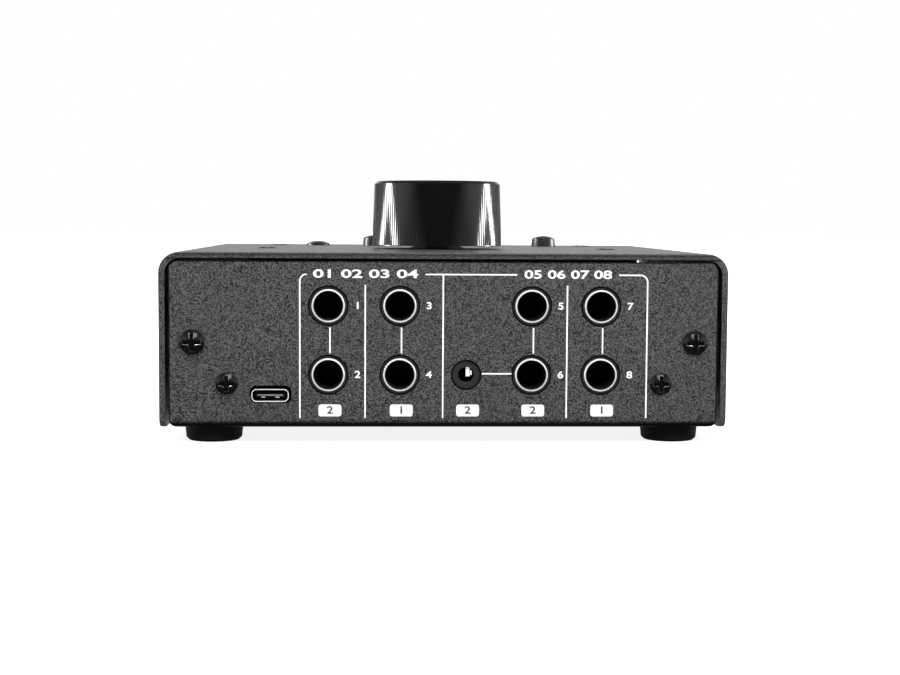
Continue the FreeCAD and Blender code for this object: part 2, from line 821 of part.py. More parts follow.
def posts_and_spacers():
    spacer = tube("board_spacer", "spacer_dia", "thread_dia + 2 * thread_gap", "spacer_height")
    spots = [(f"{side}spacer_side", end, "floor_top", UPRIGHT)
             for side in SIDES for end in ("spacer_rear", "spacer_front")]
    group("board_spacers", spacer, spots)
    post = hex_nut("control_post", "post_width", "thread_dia + 2 * thread_gap", "control_drop")
    spots = [(f"{side}control_post_side", end, "control_top", UPRIGHT)
             for side in SIDES for end in ("post_rear", "post_front")]
    group("control_posts", post, spots)


def board_bracket(label, side):
    """An angle that stands on the main board and takes a screw through the rear panel."""
    body = new_body(label)
    drop = "(bracket_screw_z - board_top)"
    profile = sketch(body, "YZ", "-bracket_width / 2")
    outline(profile, [
        ("-bracket_foot", f"-{drop}"),
        ("0", f"-{drop}"),
        ("0", "bracket_above"),
        ("-bracket_wall", "bracket_above"),
        ("-bracket_wall", f"-{drop} + bracket_wall"),
        ("-bracket_foot", f"-{drop} + bracket_wall"),
    ])
    pad(body, profile, "bracket_width")
    hole = sketch(body, "XZ", "0")
    circle(hole, "0", "0", "small_thread_dia + 2 * thread_gap")
    pocket(body, hole, "2 * bracket_wall", backwards=True)
    place(body, f"{side}bracket_screw_side", "rear_inside", "bracket_screw_z")
    return keep(body)


def block(body, width, length, low, height):
    drawing = sketch(body, "XY", low)
    rectangle(drawing, f"-({width}) / 2", f"({width}) / 2", f"-({length}) / 2", f"({length}) / 2")
    pad(body, drawing, height)


def pin_header(label, rows, rise):
    """Rows of square pins in a moulded strip, which stands on z = 0."""
    header = new_body(label)
    length = f"{HEADER_PINS} * header_pitch"
    block(header, length, f"{rows} * header_pitch", "0", "header_base")
    drawing = sketch(header, "XY", "0")
    for column in range(HEADER_PINS):
        for row in range(rows):
            across = f"({column} - {HEADER_PINS - 1} / 2) * header_pitch"
            along = f"({row} - {rows - 1} / 2) * header_pitch"
            rectangle(drawing, f"{across} - header_pin / 2", f"{across} + header_pin / 2",
                      f"{along} - header_pin / 2", f"{along} + header_pin / 2")
    pad(header, drawing, rise)
    return header


def headers():
    """Pin headers that carry the signals between the three boards."""
    link = pin_header("link_header", 2, "control_under - link_socket - board_top")
    keep(place(link, "link_column", "link_y", "board_top"))
    socket = new_body("link_socket")
    block(socket, f"{HEADER_PINS} * header_pitch", "2 * header_pitch", "-link_socket", "link_socket")
    keep(place(socket, "link_column", "link_y", "control_under"))
    jack_link = pin_header("jack_link_header", 1, "jack_height")
    group("jack_board_headers", jack_link,
          [(f"{side}jack_link_column", "jack_link_y", "board_top", UPRIGHT) for side in SIDES])


# ---------------------------------------------------------------- sockets
def jack(label, kind, below, above, across, along, up, turn=UPRIGHT):
    """A moulded jack. Its own origin is the middle of the mouth, and the plug goes in towards -Y."""
    body = new_body(label)
    shell = sketch(body, "XZ", f"-{kind}_nose_length")
    rectangle(shell, f"-{kind}_width / 2", f"{kind}_width / 2", f"-({below})", above)
    pad(body, shell, f"{kind}_depth")
    rear = f"-({kind}_nose_length + {kind}_depth)"
    step = sketch(body, "YZ", f"-{kind}_width / 2")
    rectangle(step, rear, f"{rear} + {kind}_step", f"{above} - {kind}_step", above)
    pocket(body, step, f"{kind}_width", backwards=True)
    windows = sketch(body, "XY", above)
    for near in range(CONTACT_WINDOWS):
        low = f"-{kind}_nose_length - {kind}_depth * ({near} + 1) / {CONTACT_WINDOWS + 2}"
        for side in SIDES:
            edge = f"{side}{kind}_width / 2"
            inner = f"{side}({kind}_width / 2 - window_depth)"
            rectangle(windows, min(edge, inner, key=value), max(edge, inner, key=value),
                      f"{low} - window_width", low)
    pocket(body, windows, f"{above} + {below} - window_sill")
    nose = sketch(body, "XZ", "0")
    circle(nose, "0", "0", f"{kind}_nose_dia")
    pad(body, nose, f"{kind}_nose_length")
    bore = sketch(body, "XZ", "0")
    circle(bore, "0", "0", f"{kind}_bore_dia")
    pocket(body, bore, f"{kind}_bore_depth", backwards=True)
    if kind == "jack":
        seat = sketch(body, "XZ", "0")
        circle(seat, "0", "0", "ferrule_dia")
        pocket(body, seat, "ferrule_length", backwards=True)
        groove = sketch(body, "XZ", "0")
        circle(groove, "0", "0", "ferrule_dia + 2 * groove_width")
        pocket(body, groove, "groove_depth", backwards=True)
    else:
        soften(body, "Chamfer", "mini_lead", round_edge("mini_bore_dia", "0"))
    place(body, across, along, up, turn)
    return keep(body)


def sockets():
    """The eight rear jacks with their plated ferrules, the small auxiliary jack and the headphone jacks."""
    half = "jack_height / 2"
    for name, (column, row) in JACKS.items():
        jack(f"{name}_jack", "jack", half, half, column, "rear_face", row)
    jack("phones_jack", "jack", half, half, "phones_jack_column", "front_face", "phones_axis", OVER_Z)
    drop = "lower_axis - board_top"
    jack("aux_jack", "mini", drop, "mini_above", "aux_column", "rear_face - mini_recess", "lower_axis")
    jack("phones_mini_jack", "mini", drop, "mini_above", "phones_mini_column", "front_face + mini_recess",
         "phones_axis", OVER_Z)
    ferrule = new_body("ferrule")
    profile = sketch(ferrule, "XZ", "0")
    outline(profile, [
        ("jack_bore_dia / 2", "0"),
        ("ferrule_dia / 2", "0"),
        ("ferrule_dia / 2", "ferrule_length"),
        ("(ferrule_dia + jack_bore_dia) / 4", "ferrule_length + ferrule_proud"),
        ("jack_bore_dia / 2", "ferrule_length"),
    ])
    revolve(ferrule, profile)
    seats = [(column, "rear_face - ferrule_length", row, TO_REAR) for column, row in JACKS.values()]
    seats.append(("phones_jack_column", "front_face + ferrule_length", "phones_axis", TO_FRONT))
    group("jack_ferrules", ferrule, seats)


def usb_socket():
    """The USB-C power socket: a drawn steel shell on four legs, and its moulded tongue."""
    shell = new_body("usb_shell")
    mouth = sketch(shell, "XZ", "0")
    rounded(mouth, "0", "0", "usb_width", "usb_height", "usb_corner")
    rounded(mouth, "0", "0", "usb_width - 2 * usb_wall", "usb_height - 2 * usb_wall", "usb_corner - usb_wall")
    pad(shell, mouth, "usb_depth")
    drop = "usb_z - board_top"
    legs = sketch(shell, "XY", f"-({drop})")
    for side in SIDES:
        across = f"{side}(usb_width / 2 - usb_height / 2)"
        for near in ("-usb_depth + usb_leg / 2", "-usb_depth / 2"):
            rectangle(legs, f"{across} - usb_wall", f"{across} + usb_wall", near, f"{near} + usb_leg")
    pad(shell, legs, f"{drop} - usb_height / 2 + usb_wall / 2")
    place(shell, "usb_column", "rear_face - usb_recess", "usb_z")
    keep(shell)
    tongue = new_body("usb_tongue")
    base = sketch(tongue, "XZ", "-usb_depth + usb_base_depth")
    inset = "(usb_wall + thread_gap)"
    rounded(base, "0", "0", f"usb_width - 2 * {inset}", f"usb_height - 2 * {inset}", f"usb_corner - {inset}")
    pad(tongue, base, "usb_base_depth")
    blade = sketch(tongue, "XZ", "-usb_tongue_setback")
    rectangle(blade, "-usb_tongue_width / 2", "usb_tongue_width / 2",
              "-usb_tongue_wall / 2", "usb_tongue_wall / 2")
    pad(tongue, blade, "usb_depth - usb_tongue_setback")
    place(tongue, "usb_column", "rear_face - usb_recess", "usb_z")
    keep(tongue)


# ---------------------------------------------------------------- level control
def hexagon(drawing, width):
    """A hexagon by its width over flats."""
    corners = []
    for number in range(6):
        angle = math.radians(60 * number)
        corners.append((f"({width}) / sqrt(3) * {math.cos(angle):.9f}",
                        f"({width}) / sqrt(3) * {math.sin(angle):.9f}"))
    outline(drawing, corners)


def hex_nut(label, width, bore, height):
    body = new_body(label)
    drawing = sketch(body, "XY", "0")
    hexagon(drawing, width)
    circle(drawing, "0", "0", bore)
    pad(body, drawing, height)
    return body


def level_pot():
    """The level potentiometer, hung from the cover by its threaded bushing."""
    pot = new_body("level_pot")
    block(pot, "pot_width", "pot_length", "control_top", "pot_wafer")
    block(pot, "pot_width - 2 * pot_inset", "pot_length - 2 * pot_inset",
          "control_top", "control_drop - pot_wafer")
    block(pot, "pot_width", "pot_length - pot_inset", "cover_under - pot_wafer", "pot_wafer")
    terminals = sketch(pot, "XY", "control_top")
    for number in range(-1, 2):
        across = f"{number} * pot_width / 4"
        rectangle(terminals, f"{across} - terminal_width / 2", f"{across} + terminal_width / 2",
                  "pot_length / 2 - pot_inset", "pot_length / 2 + terminal_reach")
    pad(pot, terminals, "pot_wafer / 2")
    well = sketch(pot, "XY", "cover_under")
    circle(well, "0", "0", "shaft_dia + 2 * shaft_gap")
    pocket(pot, well, "shaft_foot")
    place(pot, "0", "knob_y", "0")
    keep(pot)
    bushing = tube("level_bushing", "bushing_dia", "shaft_dia + 2 * shaft_gap", "cover_wall + bushing_rise")
    keep(place(bushing, "0", "knob_y", "cover_under"))
    washer = tube("level_washer", "washer_dia", "bushing_dia + 2 * thread_gap", "washer_wall")
    keep(place(washer, "0", "knob_y", "case_top"))
    nut = hex_nut("level_nut", "nut_width", "bushing_dia + 2 * thread_gap", "nut_wall")
    keep(place(nut, "0", "knob_y", "case_top + washer_wall"))


def level_knob():
    """The turned level knob on its shaft, held by a grub screw on the shaft's flat."""
    knob = new_body("level_knob")
    profile = sketch(knob, "XZ", "0")
    outline(profile, [
        ("0", "knob_bore"),
        ("shaft_dia / 2 + shaft_gap", "knob_bore"),
        ("shaft_dia / 2 + shaft_gap", "knob_hollow"),
        ("knob_hollow_dia / 2", "knob_hollow"),
        ("knob_hollow_dia / 2", "0"),
        ("knob_base_dia / 2", "0"),
        ("knob_top_dia / 2", "knob_height"),
        ("0", "knob_height"),
    ])
    revolve(knob, profile)
    soften(knob, "Chamfer", "knob_edge", round_edge("knob_top_dia", "knob_height"))
    pointer = sketch(knob, "XY", "knob_height")
    reach = "(knob_top_dia / 2 - knob_edge - pointer_inset)"
    rectangle(pointer, "-pointer_width / 2", "pointer_width / 2", f"{reach} - pointer_length", reach)
    pocket(knob, pointer, "pointer_depth")
    grub_hole = sketch(knob, "XZ", "0")
    circle(grub_hole, "0", "grub_height", "thread_dia + 2 * thread_gap")
    pocket(knob, grub_hole, "knob_base_dia", backwards=True)
    keep(place(knob, "0", "knob_y", "knob_base"))

    shaft = new_body("level_shaft")
    foot_level = "cover_under - shaft_foot + 4 * shaft_gap"
    rod = sketch(shaft, "XY", foot_level)
    circle(rod, "0", "0", "shaft_dia")
    pad(shaft, rod, f"knob_base + knob_bore - 4 * shaft_gap - ({foot_level})")
    flat = sketch(shaft, "XY", "knob_base + knob_bore")
    rectangle(flat, "-shaft_dia", "shaft_dia", "-shaft_dia", "-(shaft_dia / 2 - shaft_flat)")
    pocket(shaft, flat, "knob_bore - knob_hollow")
    keep(place(shaft, "0", "knob_y", "0"))

    grub = new_body("knob_grub_screw")
    drawing = sketch(grub, "XY", "0")
    circle(drawing, "0", "0", "thread_dia")
    pad(grub, drawing, "grub_length")
    key = sketch(grub, "XY", "grub_length")
    hexagon(key, "grub_socket")
    pocket(grub, key, "grub_length / 2")
    flat_face = "knob_y - (shaft_dia / 2 - shaft_flat)"
    keep(place(grub, "0", flat_face, "knob_base + grub_height", TO_FRONT))


# ---------------------------------------------------------------- push buttons
def button(number):
    """A domed cap on its stem, and the switch it works. A latched button rests one travel lower."""
    label = f"button_{number + len(BUTTON_NUMBERS) // 2 + 1}"
    across = f"{number} * button_pitch"
    stroke = "button_travel" if number == LATCHED else "0"
    cap = new_body(label)
    rim = "button_tip_dia / 2 - button_edge"
    profile = sketch(cap, "XZ", "0")
    outline(profile, [
        ("0", "-cover_wall - button_skirt + button_travel - stem_length"),
        ("stem_dia / 2", "-cover_wall - button_skirt + button_travel - stem_length"),
        ("stem_dia / 2", "-cover_wall - button_skirt + button_travel"),
        ("button_dia / 2", "-cover_wall - button_skirt + button_travel"),
        ("button_dia / 2", "0"),
        ("button_tip_dia / 2", "button_rise - button_dome"),
        (rim, "button_rise - button_dome + button_edge / 2", crown(rim, "button_dome - button_edge / 2")),
        ("0", "button_rise"),
    ])
    revolve(cap, profile)
    keep(place(cap, across, "button_y", f"case_top - {stroke}"))

    switch = new_body(f"switch_{label.split('_')[1]}")
    block(switch, "switch_width", "switch_width", "0", "switch_base")
    block(switch, "switch_width - 2 * switch_inset", "switch_width - 2 * switch_inset", "0", "switch_height")
    well = sketch(switch, "XY", "switch_height")
    circle(well, "0", "0", "stem_dia + 2 * stem_gap")
    pocket(switch, well, "stem_length - control_drop + switch_height + button_skirt + stem_floor")
    keep(place(switch, across, "button_y", "control_top"))


# ---------------------------------------------------------------- headphone level
def phones_level():
    """The small headphone level pot on the main board, and its knob on the front panel."""
    pot = new_body("phones_pot")
    frame = sketch(pot, "XZ", "front_inside + phones_pot_depth")
    rectangle(frame, "-phones_pot_width / 2", "phones_pot_width / 2",
              "board_top", "phones_axis + phones_pot_above")
    pad(pot, frame, "phones_pot_depth")
    neck = sketch(pot, "XZ", "front_inside")
    circle(neck, "0", "phones_axis", "phones_bushing_dia")
    pad(pot, neck, "chassis_wall + phones_bushing_rise")
    well = sketch(pot, "XZ", "front_face - phones_bushing_rise")
    circle(well, "0", "phones_axis", "phones_shaft_dia + 2 * shaft_gap")
    pocket(pot, well, "phones_bushing_rise + chassis_wall + phones_shaft_foot")
    keep(place(pot, "phones_knob_column", "0", "0"))
    nut = hex_nut("phones_nut", "phones_nut_width", "phones_bushing_dia + 2 * thread_gap", "phones_nut_wall")
    keep(place(nut, "phones_knob_column", "front_face", "phones_axis", TO_FRONT))
    shaft = new_body("phones_shaft")
    rod = sketch(shaft, "XY", "0")
    circle(rod, "0", "0", "phones_shaft_dia")
    reach = "phones_knob_gap + phones_bore - 4 * shaft_gap"
    pad(shaft, rod, f"chassis_wall + phones_shaft_foot - 4 * shaft_gap + {reach}")
    heel = "front_inside + phones_shaft_foot - 4 * shaft_gap"
    keep(place(shaft, "phones_knob_column", heel, "phones_axis", TO_FRONT))
    knob = new_body("phones_knob")
    profile = sketch(knob, "XZ", "0")
    outline(profile, [
        ("0", "phones_bore"),
        ("phones_shaft_dia / 2 + shaft_gap", "phones_bore"),
        ("phones_shaft_dia / 2 + shaft_gap", "phones_hollow"),
        ("phones_hollow_dia / 2", "phones_hollow"),
        ("phones_hollow_dia / 2", "0"),
        ("phones_knob_dia / 2", "0"),
        ("phones_knob_tip_dia / 2", "phones_knob_length"),
        ("0", "phones_knob_length"),
    ])
    revolve(knob, profile)
    soften(knob, "Chamfer", "knob_edge", round_edge("phones_knob_tip_dia", "phones_knob_length"))
    keep(place(knob, "phones_knob_column", "front_face - phones_knob_gap", "phones_axis", TO_FRONT))


# ---------------------------------------------------------------- assembly
def build():
    top_cover()
    chassis()
    cover_lugs()
    for side, hand in (("+", "right"), ("-", "left")):
        foot(f"foot_rear_{hand}", side, "foot_rear")
        foot(f"foot_front_{hand}", side, "foot_front")
        board_bracket(f"board_bracket_{hand}", side)
    screws()
    boards()
    posts_and_spacers()
    headers()
    sockets()
    usb_socket()
    level_pot()
    level_knob()
    for number in BUTTON_NUMBERS:
        button(number)
    phones_level()
    doc.recompute()


def check():
    """Stop if any object failed or any sub-part is empty or not sound."""
    for item in doc.Objects:
        if {"Invalid", "Error"} & set(item.State):
            raise RuntimeError(f"{item.Label} failed: {item.State}")
    for item in subparts:
        if item.Shape.isNull() or not item.Shape.isValid() or not item.Shape.Solids:
            raise RuntimeError(f"{item.Label} is not a sound solid")


def write():
    os.makedirs("parts", exist_ok=True)
    for item in subparts:
        item.Shape.exportStep(f"parts/{item.Label}.step")
        print(f"{item.Label}: {len(item.Shape.Solids)} solid(s), {item.Shape.Volume:.1f} mm3")


build()
check()
write()
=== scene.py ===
"""Finishes, printed lines and fine detail for a desktop studio monitor controller.

Its floor, lamps and camera come last. Lengths that end in _MM are millimetres, and the rest are metres.
+Z is up and +Y is the rear panel with the jacks.
"""
import bmesh
import bpy
import math
from mathutils import Matrix, Vector


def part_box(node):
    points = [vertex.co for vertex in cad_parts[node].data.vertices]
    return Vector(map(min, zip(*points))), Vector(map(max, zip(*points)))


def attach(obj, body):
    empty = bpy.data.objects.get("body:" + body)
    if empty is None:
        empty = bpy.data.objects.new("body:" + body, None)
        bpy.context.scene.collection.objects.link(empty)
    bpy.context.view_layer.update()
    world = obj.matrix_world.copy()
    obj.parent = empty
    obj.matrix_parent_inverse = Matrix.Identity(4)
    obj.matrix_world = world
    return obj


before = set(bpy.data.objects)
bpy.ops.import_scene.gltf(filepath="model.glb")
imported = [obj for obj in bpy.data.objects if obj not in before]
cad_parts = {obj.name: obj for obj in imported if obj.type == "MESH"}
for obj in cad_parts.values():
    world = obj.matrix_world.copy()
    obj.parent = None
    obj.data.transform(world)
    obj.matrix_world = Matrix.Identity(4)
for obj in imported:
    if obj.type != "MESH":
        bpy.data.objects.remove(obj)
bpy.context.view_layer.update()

MM = 0.001

# The rear jacks stand in four columns of two.
COLUMNS = ("output_b", "output_a", "input_b", "input_a")
UPPER_ROW = "left_jack"
LOWER_ROW = "right_jack"


def centre(node):
    """The middle of a node's box, in metres."""
    low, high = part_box(node)
    return (low + high) / 2


def middle_of(node):
    """The middle of a node, across and up, in millimetres."""
    middle = centre(node)
    return middle.x / MM, middle.z / MM


# ---------------------------------------------------------------- what the finishes share
def colour(code):
    """Linear RGBA from an sRGB hex code."""
    channels = [int(code[start:start + 2], 16) / 255 for start in (1, 3, 5)]
    linear = [c / 12.92 if c <= 0.04045 else ((c + 0.055) / 1.055) ** 2.4 for c in channels]
    return (*linear, 1.0)


def grey(level):
    """A ramp colour that stands for a number, such as a roughness."""
    return (level, level, level, 1.0)


def per_metre(size_mm):
    """The texture scale that gives features of a size in millimetres."""
    return 1 / (size_mm * MM)


def add(material, kind, inputs=None, stops=(), **settings):
    """Adds a node to a material or the world. An input is a number, a colour, or the socket of another node
    that feeds it. Stops are the places and colours of a ramp's two ends."""
    made = material.node_tree.nodes.new(kind)
    for name, setting in settings.items():
        setattr(made, name, setting)
    for end, (place, tone) in enumerate(stops):
        made.color_ramp.elements[end].position = place
        made.color_ramp.elements[end].color = tone
    for name, given in (inputs or {}).items():
        if isinstance(given, bpy.types.NodeSocket):
            material.node_tree.links.new(given, made.inputs[name])
        else:
            made.inputs[name].default_value = given
    return made


def blank(name):
    """A material with an empty node tree."""
    material = bpy.data.materials.new(name)
    material.use_nodes = True
    material.node_tree.nodes.clear()
    return material


def surface(material, inputs):
    """Gives a material its shader, joined to its output."""
    shader = add(material, "ShaderNodeBsdfPrincipled", inputs)
    add(material, "ShaderNodeOutputMaterial", {"Surface": shader.outputs["BSDF"]})


def specks(material, size_mm):
    """A pattern from 0 to 1 in specks of a size in millimetres, fixed to the object."""
    place = add(material, "ShaderNodeTexCoord").outputs["Object"]
    return add(material, "ShaderNodeTexNoise", {
        "Vector": place, "Scale": per_metre(size_mm), "Detail": 2.0, "Roughness": 0.55}).outputs["Fac"]


EVEN = (0.3, 0.7)      # the values of the pattern at which the two tones of an even blend are whole


def speckled(name, size_mm, tones, shader, blend=EVEN, haze=None, depth_mm=0.0):
    """A material that wanders between two tones in specks of a size in millimetres. Haze is a roughness
    that wanders too: the size of its own specks, its least and its most. Depth makes the specks stand up."""
    material = blank(name)
    pattern = specks(material, size_mm)
    inputs = dict(shader)
    inputs["Base Color"] = add(material, "ShaderNodeValToRGB", {"Fac": pattern},
                               stops=zip(blend, map(colour, tones))).outputs["Color"]
    if haze:
        haze_mm, *levels = haze
        inputs["Roughness"] = add(material, "ShaderNodeValToRGB", {"Fac": specks(material, haze_mm)},
                                  stops=zip(EVEN, map(grey, levels))).outputs["Color"]
    if depth_mm:
        inputs["Normal"] = add(material, "ShaderNodeBump", {
            "Height": pattern, "Distance": depth_mm * MM, "Strength": 1.0}).outputs["Normal"]
    surface(material, inputs)
    return material


# ---------------------------------------------------------------- powder coat
INSIDE_MM = 4.0            # a face that looks in from this far out or more is an inner one
EDGE_MM = 0.3              # how far in from the chassis's sheared edges the coat is painted near-black, as shade in the gaps
BEND_MM = (0.9, 1.8)       # above the chassis's foot: where the painted shade round the bend is whole, and where it ends
ROLL_MM = (0.15, 1.1)      # the same for the painted dark line on the roll below the cover's top edge
COVER_WALL_MM = 1.5
CORNER_MM = 0.18           # how far the painted shade reaches on each side of the cover's inner corner
END_FACING = 0.9           # a face whose normal has this much of Y or more is an end face


def inside_faces(material):
    """1 on the faces that look in toward the middle of the case, 0 on the others."""
    place = add(material, "ShaderNodeTexCoord").outputs["Object"]
    reach = add(material, "ShaderNodeVectorMath", {
        0: place, 1: (0, 0, centre("top_cover").z)}, operation="SUBTRACT").outputs[0]
    flat = add(material, "ShaderNodeVectorMath", {0: reach, 1: (1, 0, 1)}, operation="MULTIPLY").outputs[0]
    facing = add(material, "ShaderNodeNewGeometry").outputs["True Normal"]
    outward = add(material, "ShaderNodeVectorMath", {
        0: flat, 1: facing}, operation="DOT_PRODUCT").outputs["Value"]
    return add(material, "ShaderNodeMath", {
        0: outward, 1: -INSIDE_MM * MM}, operation="LESS_THAN").outputs[0]


def end_faces(material):
    """1 on the faces that look straight to the rear or the front, 0 on the others."""
    facing = add(material, "ShaderNodeNewGeometry").outputs["True Normal"]
    lengthwise = add(material, "ShaderNodeSeparateXYZ", {"Vector": facing}).outputs["Y"]
    steep = add(material, "ShaderNodeMath", {0: lengthwise}, operation="ABSOLUTE").outputs[0]
    return add(material, "ShaderNodeMath", {0: steep, 1: END_FACING}, operation="GREATER_THAN").outputs[0]


def thin_on_chassis(material):
    """Where the chassis's coat is painted near-black as shade, and where it is smooth: both close to the
    sheared side and top edges, beside the gaps, and round the bend at its foot."""
    low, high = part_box("chassis")
    place = add(material, "ShaderNodeTexCoord").outputs["Object"]
    spot = add(material, "ShaderNodeSeparateXYZ", {"Vector": place}).outputs
    aside = add(material, "ShaderNodeMath", {0: spot["X"]}, operation="ABSOLUTE").outputs[0]
    side = add(material, "ShaderNodeMath", {
        0: aside, 1: high.x - EDGE_MM * MM}, operation="GREATER_THAN").outputs[0]
    top = add(material, "ShaderNodeMath", {
        0: spot["Z"], 1: high.z - EDGE_MM * MM}, operation="GREATER_THAN").outputs[0]
    thin_to, full_from = BEND_MM
    bend = add(material, "ShaderNodeMapRange", {
        "Value": spot["Z"], "From Min": low.z + full_from * MM,
        "From Max": low.z + thin_to * MM}).outputs[0]
    edges = add(material, "ShaderNodeMath", {0: side, 1: top}, operation="MAXIMUM").outputs[0]
    thin = add(material, "ShaderNodeMath", {0: edges, 1: bend}, operation="MAXIMUM").outputs[0]
    return thin, thin


def thin_on_cover(material):
    """Where the cover's coat is painted near-black as shade, and where it is smooth: both a dark line on the
    rolled top edge of each end and on that end's inner corner. The inner faces are painted near-black but
    not smooth."""
    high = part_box("top_cover")[1]
    place = add(material, "ShaderNodeTexCoord").outputs["Object"]
    height = add(material, "ShaderNodeSeparateXYZ", {"Vector": place}).outputs["Z"]
    thin_to, full_from = ROLL_MM
    rolled = add(material, "ShaderNodeMapRange", {
        "Value": height, "From Min": high.z - full_from * MM,
        "From Max": high.z - thin_to * MM}).outputs[0]
    corner_line = add(material, "ShaderNodeMath", {
        0: height, 1: high.z - COVER_WALL_MM * MM, 2: CORNER_MM * MM}, operation="COMPARE").outputs[0]
    edges = add(material, "ShaderNodeMath", {0: rolled, 1: corner_line}, operation="MAXIMUM").outputs[0]
    ends = add(material, "ShaderNodeMath", {
        0: edges, 1: end_faces(material)}, operation="MULTIPLY").outputs[0]
    # The inner faces, where shade falls inside the case, are painted near-black too.
    thin = add(material, "ShaderNodeMath", {
        0: ends, 1: inside_faces(material)}, operation="MAXIMUM").outputs[0]
    return thin, ends


PIMPLE_MM = 0.25
PIMPLE_DEPTH_MM = 0.16
PIMPLE_BLEND = (0.445, 0.56)
HAZE_MM = 1.5
FULL_ROUGHNESS = (0.33, 0.41)
SMOOTH_ROUGHNESS = 0.12


def powder_coat(name, painted_shade_on):
    """Fine-texture powder coat, baked on steel: charcoal pimples 0.25 mm wide on a black ground that break
    up every reflection, under a haze 1.5 mm wide. Where its mask says, it is painted near-black as shade
    inside the case, in the gaps and on the bends, and on sheared and rolled edges it is smooth."""
    material = blank(name)
    pimples = specks(material, PIMPLE_MM)
    coat = add(material, "ShaderNodeValToRGB", {"Fac": pimples},
               stops=zip(PIMPLE_BLEND, (colour("#030304"), colour("#545455")))).outputs["Color"]
    haze = add(material, "ShaderNodeValToRGB", {"Fac": specks(material, HAZE_MM)},
               stops=zip(EVEN, map(grey, FULL_ROUGHNESS))).outputs["Color"]
    # thin marks the painted shade, and smooth marks where the coat is glossy.
    thin, smooth = painted_shade_on(material)
    surface(material, {
        # Painted shade: the coat turns near-black where thin is set.
        "Base Color": add(material, "ShaderNodeMix", {
            "Factor": thin, "A": coat, "B": colour("#020202")}, data_type="RGBA").outputs["Result"],
        "Roughness": add(material, "ShaderNodeMix", {
            "Factor": smooth, "A": haze, "B": grey(SMOOTH_ROUGHNESS)}, data_type="RGBA").outputs["Result"],
        "IOR": 1.5,
        "Normal": add(material, "ShaderNodeBump", {
            "Height": pimples, "Distance": PIMPLE_DEPTH_MM * MM, "Strength": 1.0}).outputs["Normal"],
    })
    return material


def thin_coat():
    """The lugs inside the case, painted near-black as the shade in the gap where they stand: smooth, with
    faint clouds 0.5 mm wide."""
    return speckled("lug_painted_shade_black", 0.5, ("#050505", "#0a0a0a"), {"Roughness": 0.25, "IOR": 1.5})


# ---------------------------------------------------------------- print
def screen_ink():
    """White screen-printing ink, cured on the coat: flat and matte. It dips with the coat, so it has a
    slight mottle 0.42 mm wide, coarser than the pimples so that it shows."""
    return speckled("white_screen_ink", 0.42, ("#dcdcda", "#f2f2f0"), {"Roughness": 0.6, "IOR": 1.5})


def label_ink():
    """The charcoal coat where a number is left open in a white label plate: flat, with the mottle of the
    ink round it."""
    return speckled("charcoal_label_gap", 0.42, ("#333334", "#464647"), {"Roughness": 0.55, "IOR": 1.5})


# ---------------------------------------------------------------- metals
def black_oxide():
    """Oiled black oxide on turned steel: near-black, with a sheen that shifts in patches 0.25 mm wide. The
    oxide is part oil and part metal, so it is less metallic than the steel below it."""
    return speckled("black_oxide_steel", 0.6, ("#0b0b0c", "#151516"), {"Metallic": 0.3},
                    haze=(0.25, 0.14, 0.2))


def dull_oxide():
    """Dry black oxide on the countersunk screws of the cover: flat and sooty, without the oil of the
    others. Its patches are 0.6 mm wide."""
    return speckled("dry_black_oxide", 0.6, ("#060606", "#0c0c0c"), {"Roughness": 0.75, "IOR": 1.45})


def bright_zinc():
    """Zinc-plated steel of the board screws, spacers, brackets and shafts: pale and a little blue, with
    cloudy patches 1 to 2 mm wide from the bath."""
    return speckled("zinc_plated_steel", 2.0, ("#a9adb1", "#c3c6c9"), {"Metallic": 1.0},
                    haze=(1.2, 0.28, 0.42))


def bright_nickel():
    """Bright nickel plate on the drawn steel shell of the socket: a warm mirror with drawing marks 0.3 to
    0.5 mm wide."""
    return speckled("bright_nickel_plate", 0.5, ("#dcdad7", "#e9e7e4"), {"Metallic": 1.0},
                    haze=(0.3, 0.14, 0.24))


def nearest(material, value, places_mm):
    """How far a coordinate lies from the nearest of some places, in metres."""
    best = None
    for spot in places_mm:
        aside = add(material, "ShaderNodeMath", {0: value, 1: spot * MM}, operation="SUBTRACT").outputs[0]
        away = add(material, "ShaderNodeMath", {0: aside}, operation="ABSOLUTE").outputs[0]
        if best is None:
            best = away
        else:
            best = add(material, "ShaderNodeMath", {0: best, 1: away}, operation="MINIMUM").outputs[0]
    return best


THROAT_MM = (3.47, 3.6)    # the radius out to which the throat is painted dark as shade, and where the plate is whole


